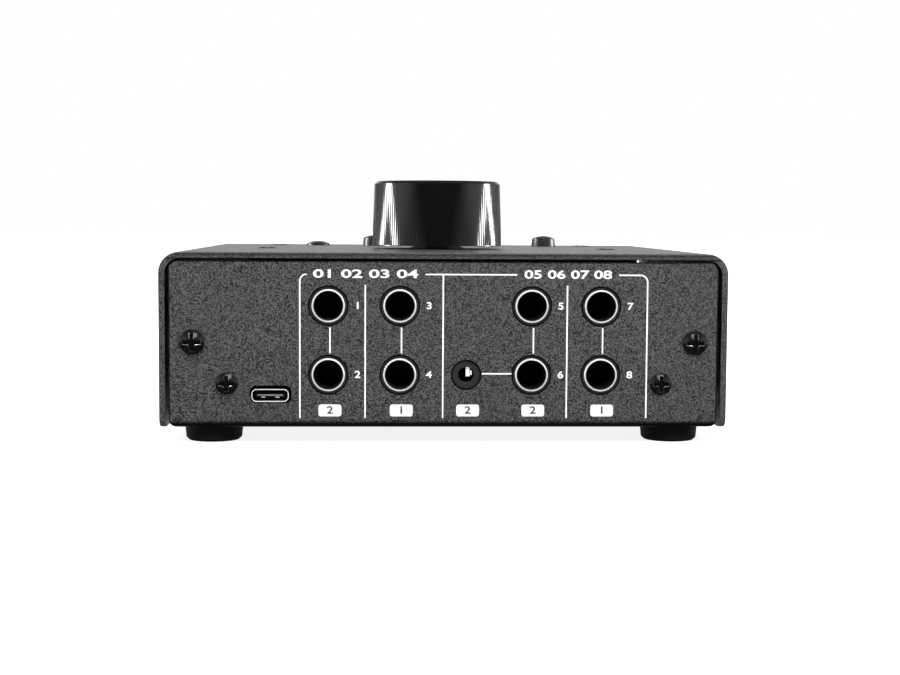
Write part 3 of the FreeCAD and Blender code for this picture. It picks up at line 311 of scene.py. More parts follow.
def ferrule_nickel():
    """Tumbled nickel plate on the rolled ferrules: pale and satin, so less metallic than a mirror. The
    throat of each is painted a dull black, as the shade where it turns into the bore."""
    material = blank("nickel_plate_painted_throat_shade")
    place = add(material, "ShaderNodeTexCoord").outputs["Object"]
    spot = add(material, "ShaderNodeSeparateXYZ", {"Vector": place}).outputs
    columns = [middle_of(f"{column}_{LOWER_ROW}")[0] for column in COLUMNS]
    rows = [middle_of(f"{COLUMNS[0]}_{row}")[1] for row in (LOWER_ROW, UPPER_ROW)]
    flat = add(material, "ShaderNodeCombineXYZ", {
        "X": nearest(material, spot["X"], columns), "Y": nearest(material, spot["Z"], rows)}).outputs[0]
    radius = add(material, "ShaderNodeVectorMath", {0: flat}, operation="LENGTH").outputs["Value"]
    throat, roll = THROAT_MM
    whole = add(material, "ShaderNodeMapRange", {
        "Value": radius, "From Min": throat * MM, "From Max": roll * MM}).outputs[0]
    surface(material, {
        # Painted shade: near-black in the throat, pale plate beyond it.
        "Base Color": add(material, "ShaderNodeValToRGB", {"Fac": whole},
                          stops=((0.0, colour("#141313")), (1.0, colour("#f4f3f1")))).outputs["Color"],
        "Metallic": 0.3,
        "Roughness": add(material, "ShaderNodeValToRGB", {"Fac": whole},
                         stops=((0.0, grey(0.5)), (1.0, grey(0.35)))).outputs["Color"],
    })
    return material


def satin_silver():
    """Matte tin plate on the sprung contacts and the shell's rolled lip: pale and soft with no mirror, so
    next to not metallic, in grains 0.4 mm wide."""
    return speckled("satin_silver_plate", 0.4, ("#e9e9e6", "#f6f6f4"), {"Metallic": 0.1, "Roughness": 0.5})


def gold_flash():
    """Gold flashed on stamped copper, for the socket's contacts: thin and bright, and uneven in spots
    0.2 mm wide."""
    return speckled("gold_flashed_copper", 0.2, ("#d8c08a", "#e8d5a4"),
                    {"Metallic": 1.0, "Roughness": 0.25})


def rolled_steel():
    """Plain rolled steel of the socket's mid plate: mid-grey and dull beside the plated shell, with mill
    marks 0.3 mm wide."""
    return speckled("rolled_steel", 0.3, ("#a3a2a0", "#b7b6b4"), {"Metallic": 0.3, "Roughness": 0.5})


def worn_steel():
    """Bare steel where a driver has worn the black away: bright in runs about 1 mm long, with oxide left
    between."""
    return speckled("driver_worn_steel", 1.1, ("#2b2a29", "#f4f3f1"), {"Metallic": 1.0, "Roughness": 0.3},
                    blend=(0.36, 0.5))


def black_anodise():
    """Black anodised aluminium, turned: a clear oxide over dye, near-black straight on and paler at the
    edges. The tool marks are 0.15 mm wide."""
    return speckled("black_anodised_aluminium", 0.15, ("#060607", "#0a0a0b"), {"IOR": 1.5},
                    haze=(0.15, 0.1, 0.16))


# ---------------------------------------------------------------- mouldings, boards and the rest
def moulded_nylon():
    """Moulded glass-filled nylon of the jack bodies: charcoal and satin, with the 0.2 mm grain of a
    spark-eroded mould."""
    return speckled("glass_filled_nylon", 0.2, ("#1f1f20", "#2b2b2c"), {"Roughness": 0.42, "IOR": 1.53},
                    depth_mm=0.01)


def black_moulding():
    """Moulded liquid-crystal polymer of the socket's tongue, the pots and the switches: black, dense and
    smooth, with flow marks 0.4 mm wide."""
    return speckled("black_moulded_polymer", 0.4, ("#141415", "#1e1e1f"), {"Roughness": 0.38, "IOR": 1.55})


def button_plastic():
    """Moulded ABS button caps: black and satin, with the 0.18 mm grain of a spark-eroded mould."""
    return speckled("moulded_black_abs", 0.18, ("#0b0b0c", "#131314"), {"Roughness": 0.34, "IOR": 1.53},
                    depth_mm=0.008)


def foot_rubber():
    """Moulded nitrile rubber feet: near-black and matte, with a 0.35 mm grain."""
    return speckled("moulded_nitrile_rubber", 0.35, ("#050505", "#0a0a0a"),
                    {"Roughness": 0.85, "IOR": 1.52}, depth_mm=0.02)


def pointer_paint():
    """White enamel run into the pointer groove of the level knob: smooth, with a slow drift 0.8 mm wide."""
    return speckled("white_groove_enamel", 0.8, ("#e4e4e1", "#f1f1ef"), {"Roughness": 0.35, "IOR": 1.5})


def black_felt():
    """A near-black sheet that stands in for the shade in the gap under the cover: specks 0.3 mm wide that
    send back next to no light.
    """
    return speckled("black_felt", 0.3, ("#060606", "#0f0f0f"), {"Roughness": 1.0, "IOR": 1.5})


WEAVE_MM = 3.14
WAVE_RADIANS = 20          # at a scale of 1, the wave texture turns this far in each unit of length


def solder_mask():
    """Green solder mask over woven glass laminate: glossy, with the weave faint below it. The yarn is
    0.5 mm wide, too fine to show, so its bands are drawn 3 mm apart."""
    material = blank("solder_mask_laminate")
    yarn = add(material, "ShaderNodeTexWave", {
        "Vector": add(material, "ShaderNodeTexCoord").outputs["Object"],
        "Scale": 2 * math.pi / WAVE_RADIANS * per_metre(WEAVE_MM),
        "Distortion": 0.4,
    }).outputs["Fac"]
    surface(material, {
        "Base Color": add(material, "ShaderNodeValToRGB", {"Fac": yarn},
                          stops=zip(EVEN, (colour("#0f4a26"), colour("#14572e")))).outputs["Color"],
        "Roughness": 0.3,
        "IOR": 1.52,
    })
    return material


# ---------------------------------------------------------------- meshes
def placed(name, data):
    """An object with a mesh, a text, a lamp or a lens, put in the scene."""
    made = bpy.data.objects.new(name, data)
    bpy.context.scene.collection.objects.link(made)
    return made


def piece(name, body, material, build):
    """A mesh piece that build() fills, riding on a CAD body."""
    mesh = bpy.data.meshes.new(name)
    shape = bmesh.new()
    build(shape)
    bmesh.ops.recalc_face_normals(shape, faces=shape.faces)
    shape.to_mesh(mesh)
    shape.free()
    mesh.materials.append(material)
    made = placed(name, mesh)
    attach(made, body)


def skin(shape, near, far):
    """Four-sided faces between two closed rings of vertices."""
    for index in range(len(near)):
        after = (index + 1) % len(near)
        shape.faces.new((near[index], near[after], far[after], far[index]))


def prism(shape, outline, move):
    """A closed prism: the outline's points, and the same points moved."""
    near = [shape.verts.new(point) for point in outline]
    far = [shape.verts.new(point + move) for point in outline]
    skin(shape, near, far)
    shape.faces.new(near[::-1])
    shape.faces.new(far)


def slab(shape, low, high):
    """A block between two corners."""
    outline = [Vector(low), Vector((high[0], low[1], low[2])), Vector((high[0], low[1], high[2])),
               Vector((low[0], low[1], high[2]))]
    prism(shape, outline, Vector((0, high[1] - low[1], 0)))


def corner(across, up, radius, start, stop, steps=8):
    """Points of a rounded corner about a centre, from one angle to another in degrees."""
    angles = [math.radians(start + (stop - start) * step / steps) for step in range(steps + 1)]
    return [(across + radius * math.cos(angle), up + radius * math.sin(angle)) for angle in angles]


def rounded(across, up, width, height, radius, inset=0.0, steps=8):
    """The outline of a plate with rounded corners about a middle, or of one set in from it all round."""
    outline = []
    for side, level, start in ((1, 1, 0), (-1, 1, 90), (-1, -1, 180), (1, -1, 270)):
        outline += corner(across + side * (width / 2 - radius), up + level * (height / 2 - radius),
                          radius - inset, start, start + 90, steps)
    return outline


# ---------------------------------------------------------------- print on the rear panel
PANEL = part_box("chassis")[1].y
INK = Vector((0, 0.03 * MM, 0))     # one layer of ink, as it stands on the panel
LINE_MM = 0.34


def on_panel(across_mm, up_mm):
    """The point on the panel's face that far across and up."""
    return Vector((across_mm * MM, PANEL, up_mm * MM))


def ribbon(shape, points, width_mm=LINE_MM):
    """A printed line of even width through points (across, up) on the panel."""
    half = width_mm / 2
    left, right = [], []
    for index, (across, up) in enumerate(points):
        before = points[max(index - 1, 0)]
        after = points[min(index + 1, len(points) - 1)]
        run = Vector((after[0] - before[0], after[1] - before[1])).normalized()
        left.append(on_panel(across - run.y * half, up + run.x * half))
        right.append(on_panel(across + run.y * half, up - run.x * half))
    prism(shape, left + right[::-1], INK)


# The framed fields on the panel: across from the object's middle, and up from the floor.
FRAME_LEFT_MM = 34.1
FRAME_MIDDLE_MM = 0.5
FRAME_RIGHT_MM = -47.8
FRAME_TOP_MM = 40.2
FRAME_FOOT_MM = 6.3
FRAME_CORNER_MM = 1.7
DIVIDER_TOP_MM = 37.7
DIVIDERS_MM = (18.8, -28.8)
HEADING_GAPS_MM = ((31.0, 6.4), (-18.6, -39.3))
HEADING_MARGIN_MM = 1.7    # between a heading and the end of the line beside it


def frame_lines(shape):
    """The two framed fields, open at the foot, with a gap in the top line for each heading."""
    (left_gap, left_end), (right_gap, right_end) = HEADING_GAPS_MM
    radius = FRAME_CORNER_MM
    top = FRAME_TOP_MM
    low = top - radius
    ribbon(shape, [(FRAME_LEFT_MM, FRAME_FOOT_MM)]
           + corner(FRAME_LEFT_MM - radius, low, radius, 0, 90)
           + [(left_gap + HEADING_MARGIN_MM, top)])
    ribbon(shape, [(left_end - HEADING_MARGIN_MM, top), (right_gap + HEADING_MARGIN_MM, top)])
    ribbon(shape, [(right_end - HEADING_MARGIN_MM, top)]
           + corner(FRAME_RIGHT_MM + radius, low, radius, 90, 180)
           + [(FRAME_RIGHT_MM, FRAME_FOOT_MM)])
    ribbon(shape, [(FRAME_MIDDLE_MM, top), (FRAME_MIDDLE_MM, FRAME_FOOT_MM)])
    for across in DIVIDERS_MM:
        ribbon(shape, [(across, DIVIDER_TOP_MM), (across, FRAME_FOOT_MM)])


PRINT_SHIFT_MM = -0.4      # how far the print lies aside of the jacks
JACK_RING_MM = 5.1         # how far from a jack's middle its link line ends
SMALL_RING_MM = 3.7        # the same for the small jack
LINK_RISE_MM = 0.3         # how far the small jack's line lies above the jacks' middles


def link_lines(shape):
    """Short lines that tie each pair of jacks, and the small jack to its neighbour."""
    for column in COLUMNS:
        across, upper = middle_of(f"{column}_{UPPER_ROW}")
        lower = middle_of(f"{column}_{LOWER_ROW}")[1]
        across += PRINT_SHIFT_MM
        ribbon(shape, [(across, upper - JACK_RING_MM), (across, lower + JACK_RING_MM)])
    small = middle_of("aux_jack")[0]
    big, lower = middle_of(f"input_b_{LOWER_ROW}")
    level = lower + LINK_RISE_MM
    ribbon(shape, [(small - SMALL_RING_MM, level), (big + JACK_RING_MM - LINE_MM, level)])


LABEL_WIDTH_MM = 5.4
LABEL_HEIGHT_MM = 2.8
LABEL_CORNER_MM = 0.6
LABEL_UP_MM = 8.1


def label_columns():
    """How far across each label plate is, with the number that it shows."""
    places = [(middle_of(f"{column}_{LOWER_ROW}")[0] + PRINT_SHIFT_MM, digit)
              for column, digit in zip(COLUMNS, "2121")]
    places.append((middle_of("aux_jack")[0] + PRINT_SHIFT_MM, "2"))
    return places


def label_plates(shape):
    """White plates with rounded corners below the jacks."""
    for across, _ in label_columns():
        outline = rounded(across, LABEL_UP_MM, LABEL_WIDTH_MM, LABEL_HEIGHT_MM, LABEL_CORNER_MM, steps=5)
        prism(shape, [on_panel(*point) for point in outline], INK)


DIGIT_SHARE = 0.7          # how much of the letter size a digit's height is
DIGIT_BOLDER = 0.03        # how far its outline is moved out, as a share of its height
DIGIT_STRETCH = 1.25       # how much wider it is than the font has it


def number(name, digits, across, up, height_mm, material, layers=1.0, width_mm=None):
    """Printed digits that read from behind the panel, as a mesh. They end a number of ink layers above the
    panel, and can be stretched to a width."""
    text = bpy.data.curves.new(name, "FONT")
    text.body = digits
    text.size = height_mm * MM / DIGIT_SHARE
    text.align_x = "CENTER"
    text.align_y = "CENTER"
    text.offset = DIGIT_BOLDER * height_mm * MM
    text.extrude = INK.y / 2
    text.resolution_u = 4
    source = placed(name + "_outline", text)
    bpy.context.view_layer.update()
    mesh = bpy.data.meshes.new_from_object(source)
    bpy.data.objects.remove(source)
    stretch = DIGIT_STRETCH
    if width_mm:
        spread = [vertex.co.x for vertex in mesh.vertices]
        stretch = width_mm * MM / (max(spread) - min(spread))
    turn = Matrix.Rotation(math.pi, 4, "Z") @ Matrix.Rotation(math.pi / 2, 4, "X")
    mesh.transform(turn @ Matrix.Diagonal((stretch, 1, 1, 1)))
    mesh.transform(Matrix.Translation(on_panel(across, up) + INK * (layers - 0.5)))
    mesh.materials.clear()
    mesh.materials.append(material)
    made = placed(name, mesh)
    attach(made, "case")


LABEL_NUMBER_MM = 1.75
LABEL_NUMBER_LAYERS = 1.4
JACK_NUMBER_MM = 1.6
JACK_NUMBER_ASIDE_MM = 6.88
HEADING_MM = 1.9


def print_panel():
    """Lines, label plates and plain numbers on the rear panel, white but for the numbers in the label
    plates."""
    ink = screen_ink()
    dark = label_ink()
    piece("panel_frame_lines", "case", ink, frame_lines)
    piece("panel_link_lines", "case", ink, link_lines)
    piece("panel_label_plates", "case", ink, label_plates)
    for count, (across, digits) in enumerate(label_columns(), start=1):
        number(f"label_number_{count}", digits, across, LABEL_UP_MM, LABEL_NUMBER_MM, dark,
               layers=LABEL_NUMBER_LAYERS)
    jack_number = 1
    for column in COLUMNS:
        for row in (UPPER_ROW, LOWER_ROW):
            across, up = middle_of(f"{column}_{row}")
            number(f"jack_number_{jack_number}", str(jack_number), across - JACK_NUMBER_ASIDE_MM, up,
                   JACK_NUMBER_MM, ink)
            jack_number += 1
    for count, (gap, digits) in enumerate(zip(HEADING_GAPS_MM, ("01 02 03 04", "05 06 07 08")), start=1):
        number(f"heading_numbers_{count}", digits, sum(gap) / 2, FRAME_TOP_MM, HEADING_MM, ink,
               width_mm=gap[0] - gap[1])


# ---------------------------------------------------------------- level knob
KNOB_TAPER_MM = 0.45       # how much less its radius is at the top than at the foot
FLUTES = 150
FLUTE_STEPS = 8
FLUTE_DEPTH_MM = (0.06, 0.006)      # at the foot and at the top of a flute
FLUTE_MARGIN_MM = (0.15, 1.5)       # from the knob's foot and top to the flute's
GRUB_CLEAR_MM = 2.0                 # the radius round the grub screw's hole that is left plain


def knob_flutes(shape):
    """Fine straight ridges round the knob's tapered side, left open round the grub screw's hole."""
    low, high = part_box("level_knob")
    middle = centre("level_knob")
    foot_radius = (high.x - low.x) / 2
    taper = KNOB_TAPER_MM * MM / (high.z - low.z)
    half = math.pi / FLUTES
    foot = low.z + FLUTE_MARGIN_MM[0] * MM
    head = high.z - FLUTE_MARGIN_MM[1] * MM
    grub = centre("knob_grub_screw").z
    clear = GRUB_CLEAR_MM * MM

    def at(angle, level, rise):
        """A point that stands out from the tapered side by a rise."""
        radius = foot_radius - taper * (level - low.z) + rise
        return Vector((middle.x + radius * math.sin(angle), middle.y + radius * math.cos(angle), level))

    for index in range(FLUTES):
        angle = 2 * half * index
        aside = abs(foot_radius * math.sin(angle))
        spans = [(foot, head)]
        if math.cos(angle) < 0 and aside < clear:
            reach = math.sqrt(clear ** 2 - aside ** 2)
            spans = [(foot, grub - reach), (grub + reach, head)]
        for bottom, top in spans:
            rings = []
            for step in range(FLUTE_STEPS + 1):
                level = bottom + (top - bottom) * step / FLUTE_STEPS
                share = (level - foot) / (head - foot)
                depth = (FLUTE_DEPTH_MM[0] + (FLUTE_DEPTH_MM[1] - FLUTE_DEPTH_MM[0]) * share) * MM
                rings.append([shape.verts.new(at(angle + turn * half, level, rise)) for turn, rise in
                              ((-1, -depth), (-1, 0.0), (0, depth), (1, 0.0), (1, -depth))])
            for lower, upper in zip(rings, rings[1:]):
                for side in range(4):
                    shape.faces.new((lower[side], lower[side + 1], upper[side + 1], upper[side]))
            shape.faces.new(rings[0][::-1])
            shape.faces.new(rings[-1])


POINTER_WIDTH_MM = 1.1
POINTER_LENGTH_MM = 8.9
POINTER_INSET_MM = 2.4     # from the edge of the knob's top
POINTER_SUNK_MM = 0.3      # from the knob's top down to the enamel
ENAMEL_MM = 0.1


def pointer_fill(shape):
    """Enamel on the floor of the pointer groove in the knob's top."""
    low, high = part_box("level_knob")
    middle = centre("level_knob")
    half = POINTER_WIDTH_MM / 2 * MM
    tip = middle.y + (high.x - low.x) / 2 - (KNOB_TAPER_MM + POINTER_INSET_MM) * MM
    face = high.z - POINTER_SUNK_MM * MM
    slab(shape, (middle.x - half, tip - POINTER_LENGTH_MM * MM, face - ENAMEL_MM * MM),
         (middle.x + half, tip, face))


# ---------------------------------------------------------------- screw recesses
RECESS_SPAN_MM = 4.4
SMALL_RECESS_SPAN_MM = 3.8
RECESS_SLOT_MM = 1.1
RECESS_CORNER_MM = 0.3
HEAD_RIM_MM = 0.7          # how high the rim of a head stands on the panel
# The burr's section: out from the recess's edge, and up from the head.
BURR_MM = ((0.15, -0.02), (0.04, 0.06), (-0.06, 0.0), (-0.06, -0.15), (0.05, -0.15))
WORN_STEPS = 4
SUNK_HEAD_MM = 5.8         # the screws in the cover's top are sunk, and only their crowns stand up
SUNK_CROWN_MM = 0.4


def cross_outline(span_mm):
    """Points round a cross of two slots, with its inner corners cut off."""
    wide, thin = span_mm / 2, RECESS_SLOT_MM / 2
    root = thin + RECESS_CORNER_MM
    arm = [(wide, -thin), (wide, thin), (root, thin), (thin, root)]
    points = []
    for quarter in range(4):
        turn = Matrix.Rotation(math.pi / 2 * quarter, 2)
        points += [turn @ Vector(point) for point in arm]
    return points


def finer(points, steps):
    """The same closed outline with each side cut into steps."""
    return [point.lerp(points[(index + 1) % len(points)], step / steps)
            for index, point in enumerate(points) for step in range(steps)]


def moved_out(points, distance):
    """A closed outline, run anticlockwise, with its corners moved out square to both sides that meet
    there."""
    moved = []
    for index, point in enumerate(points):
        into = (point - points[index - 1]).normalized()
        away = (points[(index + 1) % len(points)] - point).normalized()
        normals = Vector((into.y, -into.x)), Vector((away.y, -away.x))
        miter = (normals[0] + normals[1]).normalized()
        moved.append(point + miter * distance / miter.dot(normals[0]))
    return moved


def worn_ring(shape, middle, out, radius, rise, span_mm):
    """A rolled burr round one recess. Middle is the centre of the rim of the head's crown, and out is where
    the head faces. The crown is a cap of a ball."""
    across = Vector((1, 0, 0))
    up = out.cross(across)
    ball = (radius ** 2 + rise ** 2) / (2 * rise)
    sharp = finer(cross_outline(span_mm), WORN_STEPS)
    rings = []
    for aside, above in BURR_MM:
        ring = []
        for point in moved_out(sharp, aside):
            spot = point * MM
            height = math.sqrt(ball ** 2 - spot.length ** 2) - (ball - rise) + above * MM
            ring.append(shape.verts.new(middle + across * spot.x + up * spot.y + out * height))
        rings.append(ring)
    for near, far in zip(rings, rings[1:] + rings[:1]):
        skin(shape, near, far)


def worn_edges(shape):
    """A rolled burr round each screw's recess, where the driver has worn the black away."""
    rear, front, top = Vector((0, 1, 0)), Vector((0, -1, 0)), Vector((0, 0, 1))
    chassis_low, chassis_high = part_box("chassis")
    for name, out, span_mm in (("rear_cover_screws", rear, RECESS_SPAN_MM),
                               ("bracket_screws", rear, SMALL_RECESS_SPAN_MM),
                               ("front_cover_screws", front, RECESS_SPAN_MM)):
        low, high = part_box(name)
        radius = (high.z - low.z) / 2
        crest, panel = (high.y, chassis_high.y) if out is rear else (low.y, chassis_low.y)
        rise = abs(crest - panel) - HEAD_RIM_MM * MM
        for side in (1, -1):
            middle = Vector((side * (high.x - radius), crest - out.y * rise, (low.z + high.z) / 2))
            worn_ring(shape, middle, out, radius, rise, span_mm)
    low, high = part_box("control_cover_screws")
    radius = SUNK_HEAD_MM / 2 * MM
    rise = SUNK_CROWN_MM * MM
    for side in (1, -1):
        for along in (low.y + radius, high.y - radius):
            middle = Vector((side * (high.x - radius), along, high.z - rise))
            worn_ring(shape, middle, top, radius, rise, SMALL_RECESS_SPAN_MM)


# ---------------------------------------------------------------- socket and small jack
TONGUE_WALL_MM = 0.7
CONTACTS = 12
CONTACT_PITCH_MM = 0.5
CONTACT_WIDTH_MM = 0.25
CONTACT_LENGTH_MM = 3.4
CONTACT_PROUD_MM = 0.03
CONTACT_SETBACK_MM = 0.5


def socket_contacts(shape):
    """A row of contacts on each face of the tongue, at the usual 0.5 mm pitch."""
    middle = centre("usb_tongue")
    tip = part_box("usb_tongue")[1].y - CONTACT_SETBACK_MM * MM
    half = CONTACT_WIDTH_MM / 2 * MM
    for index in range(CONTACTS):
        across = middle.x + (index - (CONTACTS - 1) / 2) * CONTACT_PITCH_MM * MM
        for side in (1, -1):
            face = middle.z + side * TONGUE_WALL_MM / 2 * MM
            slab(shape, (across - half, tip - CONTACT_LENGTH_MM * MM, face),
                 (across + half, tip, face + side * CONTACT_PROUD_MM * MM))


SHELL_WIDTH_MM = 8.84
SHELL_HEIGHT_MM = 3.1
SHELL_CORNER_MM = 1.25
# The lip's section: in from the shell's outline, and proud of its mouth.
LIP_MM = ((0.0, 0.0), (0.03, 0.07), (0.1, 0.1), (0.15, 0.1), (0.22, 0.07), (0.25, 0.0))


def shell_lip(shape):
    """The rolled lip round the mouth of the socket's shell."""
    middle = centre("usb_tongue")
    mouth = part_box("usb_shell")[1].y
    rings = []
    for inset, proud in LIP_MM:
        outline = rounded(0, 0, SHELL_WIDTH_MM, SHELL_HEIGHT_MM, SHELL_CORNER_MM, inset)
        rings.append([shape.verts.new((middle.x + across * MM, mouth + proud * MM, middle.z + up * MM))
                      for across, up in outline])
    for near, far in zip(rings, rings[1:] + rings[:1]):
        skin(shape, near, far)


PLATE_WIDTH_MM = 5.9
PLATE_WALL_MM = 0.22
PLATE_PROUD_MM = 0.05


def mid_plate(shape):
    """The steel plate inside the tongue, where it shows at the tip."""
    middle = centre("usb_tongue")
    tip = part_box("usb_tongue")[1].y
    half = PLATE_WIDTH_MM / 2 * MM
    wall = PLATE_WALL_MM / 2 * MM
    slab(shape, (middle.x - half, tip - CONTACT_LENGTH_MM * MM, middle.z - wall),
         (middle.x + half, tip + PLATE_PROUD_MM * MM, middle.z + wall))


BLADE_ASIDE_MM = 1.68      # from the tongue's middle to the blade's
BLADE_WIDTH_MM = 0.9
BLADE_HEIGHT_MM = 0.24


def ground_blades(shape):
    """Two ground blades below the tongue, with their tips cut back on a slope."""
    middle = centre("usb_tongue")
    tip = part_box("usb_tongue")[1].y
    root = tip - CONTACT_LENGTH_MM * MM
    top = middle.z - TONGUE_WALL_MM / 2 * MM
    foot = top - BLADE_HEIGHT_MM * MM
    for side in (1, -1):
        left = middle.x + (side * BLADE_ASIDE_MM - BLADE_WIDTH_MM / 2) * MM
        outline = [Vector((left, along, up)) for along, up in
                   ((root, top), (tip - BLADE_HEIGHT_MM * MM, top), (tip, foot), (root, foot))]
        prism(shape, outline, Vector((BLADE_WIDTH_MM * MM, 0, 0)))


# Each leaf: how far aside its middle is, half its width, and how high its top and its foot are in the bore.
LEAF_MM = ((-0.42, 0.45, 1.75, -0.4), (-1.2, 0.17, 0.9, -0.1))
LEAF_TOP_DEPTH_MM = 0.8    # from the jack's mouth in to the leaf's top
LEAF_FOOT_DEPTH_MM = 0.7
LEAF_WALL_MM = 0.15


def small_jack_leaves(shape):
    """Two sprung contact leaves in the mouth of the small jack, that run down across its bore."""
    across = centre("aux_jack").x
    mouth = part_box("aux_jack")[1].y
    level = centre(f"{COLUMNS[0]}_{LOWER_ROW}").z
    for aside, half, top, foot in LEAF_MM:
        left = across + (aside - half) * MM
        outline = [Vector((left, mouth - depth * MM, level + up * MM)) for depth, up in
                   ((LEAF_TOP_DEPTH_MM, top), (LEAF_TOP_DEPTH_MM + LEAF_WALL_MM, top),
                    (LEAF_FOOT_DEPTH_MM, foot), (LEAF_FOOT_DEPTH_MM - LEAF_WALL_MM, foot))]
        prism(shape, outline, Vector((2 * half * MM, 0, 0)))


# ---------------------------------------------------------------- under the cover's edge
SHADE_SHEET_MM = ((46.0, 64.5, 43.27), (62.0, 65.2, 43.73))      # its lowest and its highest corner


def edge_felt(shape):
    """A near-black strip of painted shade that lies on the panel's top edge, under the cover, beside the
    cover's left bend.
    """
    slab(shape, *(Vector(spot) * MM for spot in SHADE_SHEET_MM))


# ---------------------------------------------------------------- CAD nodes
def finish_nodes():
    """Gives every CAD node its finish. Each node takes the longest start of a name that fits its own."""
    finishes = {
        powder_coat("charcoal_powder_coat", thin_on_chassis): ("chassis",),
        powder_coat("cover_powder_coat", thin_on_cover): ("top_cover",),
        # The lugs are painted near-black as shade.
        thin_coat(): ("cover_lugs",),
        foot_rubber(): ("foot_rear", "foot_front"),
        black_oxide(): ("rear_cover_screws", "front_cover_screws", "bracket_screws", "foot_screws",
                        "knob_grub_screw", "control_posts", "level_nut", "level_washer"),
        dull_oxide(): ("control_cover_screws",),
        bright_zinc(): ("main_board_screws", "control_board_screws", "board_spacers", "board_bracket",
                        "level_bushing", "level_shaft", "phones_nut", "phones_shaft"),
        bright_nickel(): ("usb_shell",),
        ferrule_nickel(): ("jack_ferrules",),
        moulded_nylon(): ("output_", "input_", "phones_jack", "phones_mini_jack", "aux_jack"),
        black_moulding(): ("usb_tongue", "level_pot", "phones_pot", "switch_", "link_header", "link_socket",
                           "jack_board_headers"),
        solder_mask(): ("main_board", "control_board", "jack_board"),
        black_anodise(): ("level_knob", "phones_knob"),
        button_plastic(): ("button_",),
    }
    for name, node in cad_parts.items():
        fits = [(len(start), material) for material, starts in finishes.items()
                for start in starts if name.startswith(start)]
        material = max(fits, key=lambda fit: fit[0])[1]
        node.data.materials.clear()
        node.data.materials.append(material)


# ---------------------------------------------------------------- floor, lamps and camera
WHITE_LIFT = 0.85          # how much the floor glows where the camera or a reflection finds it
FLOOR_RADIUS = 6.0
DARK_SIDE = 0.04           # how bright reflections find the room behind the rear panel
DARK_FLOOR_MM = (45, 62)   # toward the rear: where the floor's dark card begins, and where it is whole


def floor():
    """A wide white floor that keeps the shadow. The lift makes it white to the camera and in reflections.
    Behind the rear panel the reflections see a dark card on it."""
    material = blank("white_paper_floor")
    paths = add(material, "ShaderNodeLightPath").outputs
    seen = paths["Is Camera Ray"]
    for other in ("Is Glossy Ray", "Is Transmission Ray"):
        seen = add(material, "ShaderNodeMath", {0: seen, 1: paths[other]}, operation="MAXIMUM").outputs[0]
    lift = add(material, "ShaderNodeMath", {0: seen, 1: WHITE_LIFT}, operation="MULTIPLY").outputs[0]
    paper = add(material, "ShaderNodeBsdfDiffuse", {"Color": colour("#e6e6e6")}).outputs[0]
    glow = add(material, "ShaderNodeEmission", {"Strength": lift}).outputs[0]
    both = add(material, "ShaderNodeAddShader", {0: paper, 1: glow}).outputs[0]
    place = add(material, "ShaderNodeTexCoord").outputs["Object"]
    spot = add(material, "ShaderNodeSeparateXYZ", {"Vector": place}).outputs
    start, whole = DARK_FLOOR_MM
    shade = add(material, "ShaderNodeMapRange", {
        "Value": spot["Y"], "From Min": start * MM, "From Max": whole * MM,
        "To Max": paths["Is Glossy Ray"]}).outputs[0]
    card = add(material, "ShaderNodeEmission", {"Strength": DARK_SIDE}).outputs[0]
    split = add(material, "ShaderNodeMixShader", {0: shade, 1: both, 2: card}).outputs[0]
    add(material, "ShaderNodeOutputMaterial", {"Surface": split})
    mesh = bpy.data.meshes.new("floor")
    shape = bmesh.new()
    bmesh.ops.create_circle(shape, cap_ends=True, segments=96, radius=FLOOR_RADIUS)
    shape.to_mesh(mesh)
    shape.free()
    mesh.materials.append(material)
    made = placed("floor", mesh)


FILL = 0.6                 # the even light that the room gives
OVERHEAD = 0.2             # how bright reflections find it overhead
FAR_CORNERS = 0.3          # and in the two corners beyond the front
# Where each part of the room begins and is whole, as a coordinate of the unit vector that points there.
TOWARD_DARK_SIDE = (0.5, 0.8)
TOWARD_OVERHEAD = (0.3, 0.7)
TOWARD_CORNERS_ASIDE = (0.2, 0.4)
TOWARD_CORNERS_ALONG = (-0.35, -0.75)


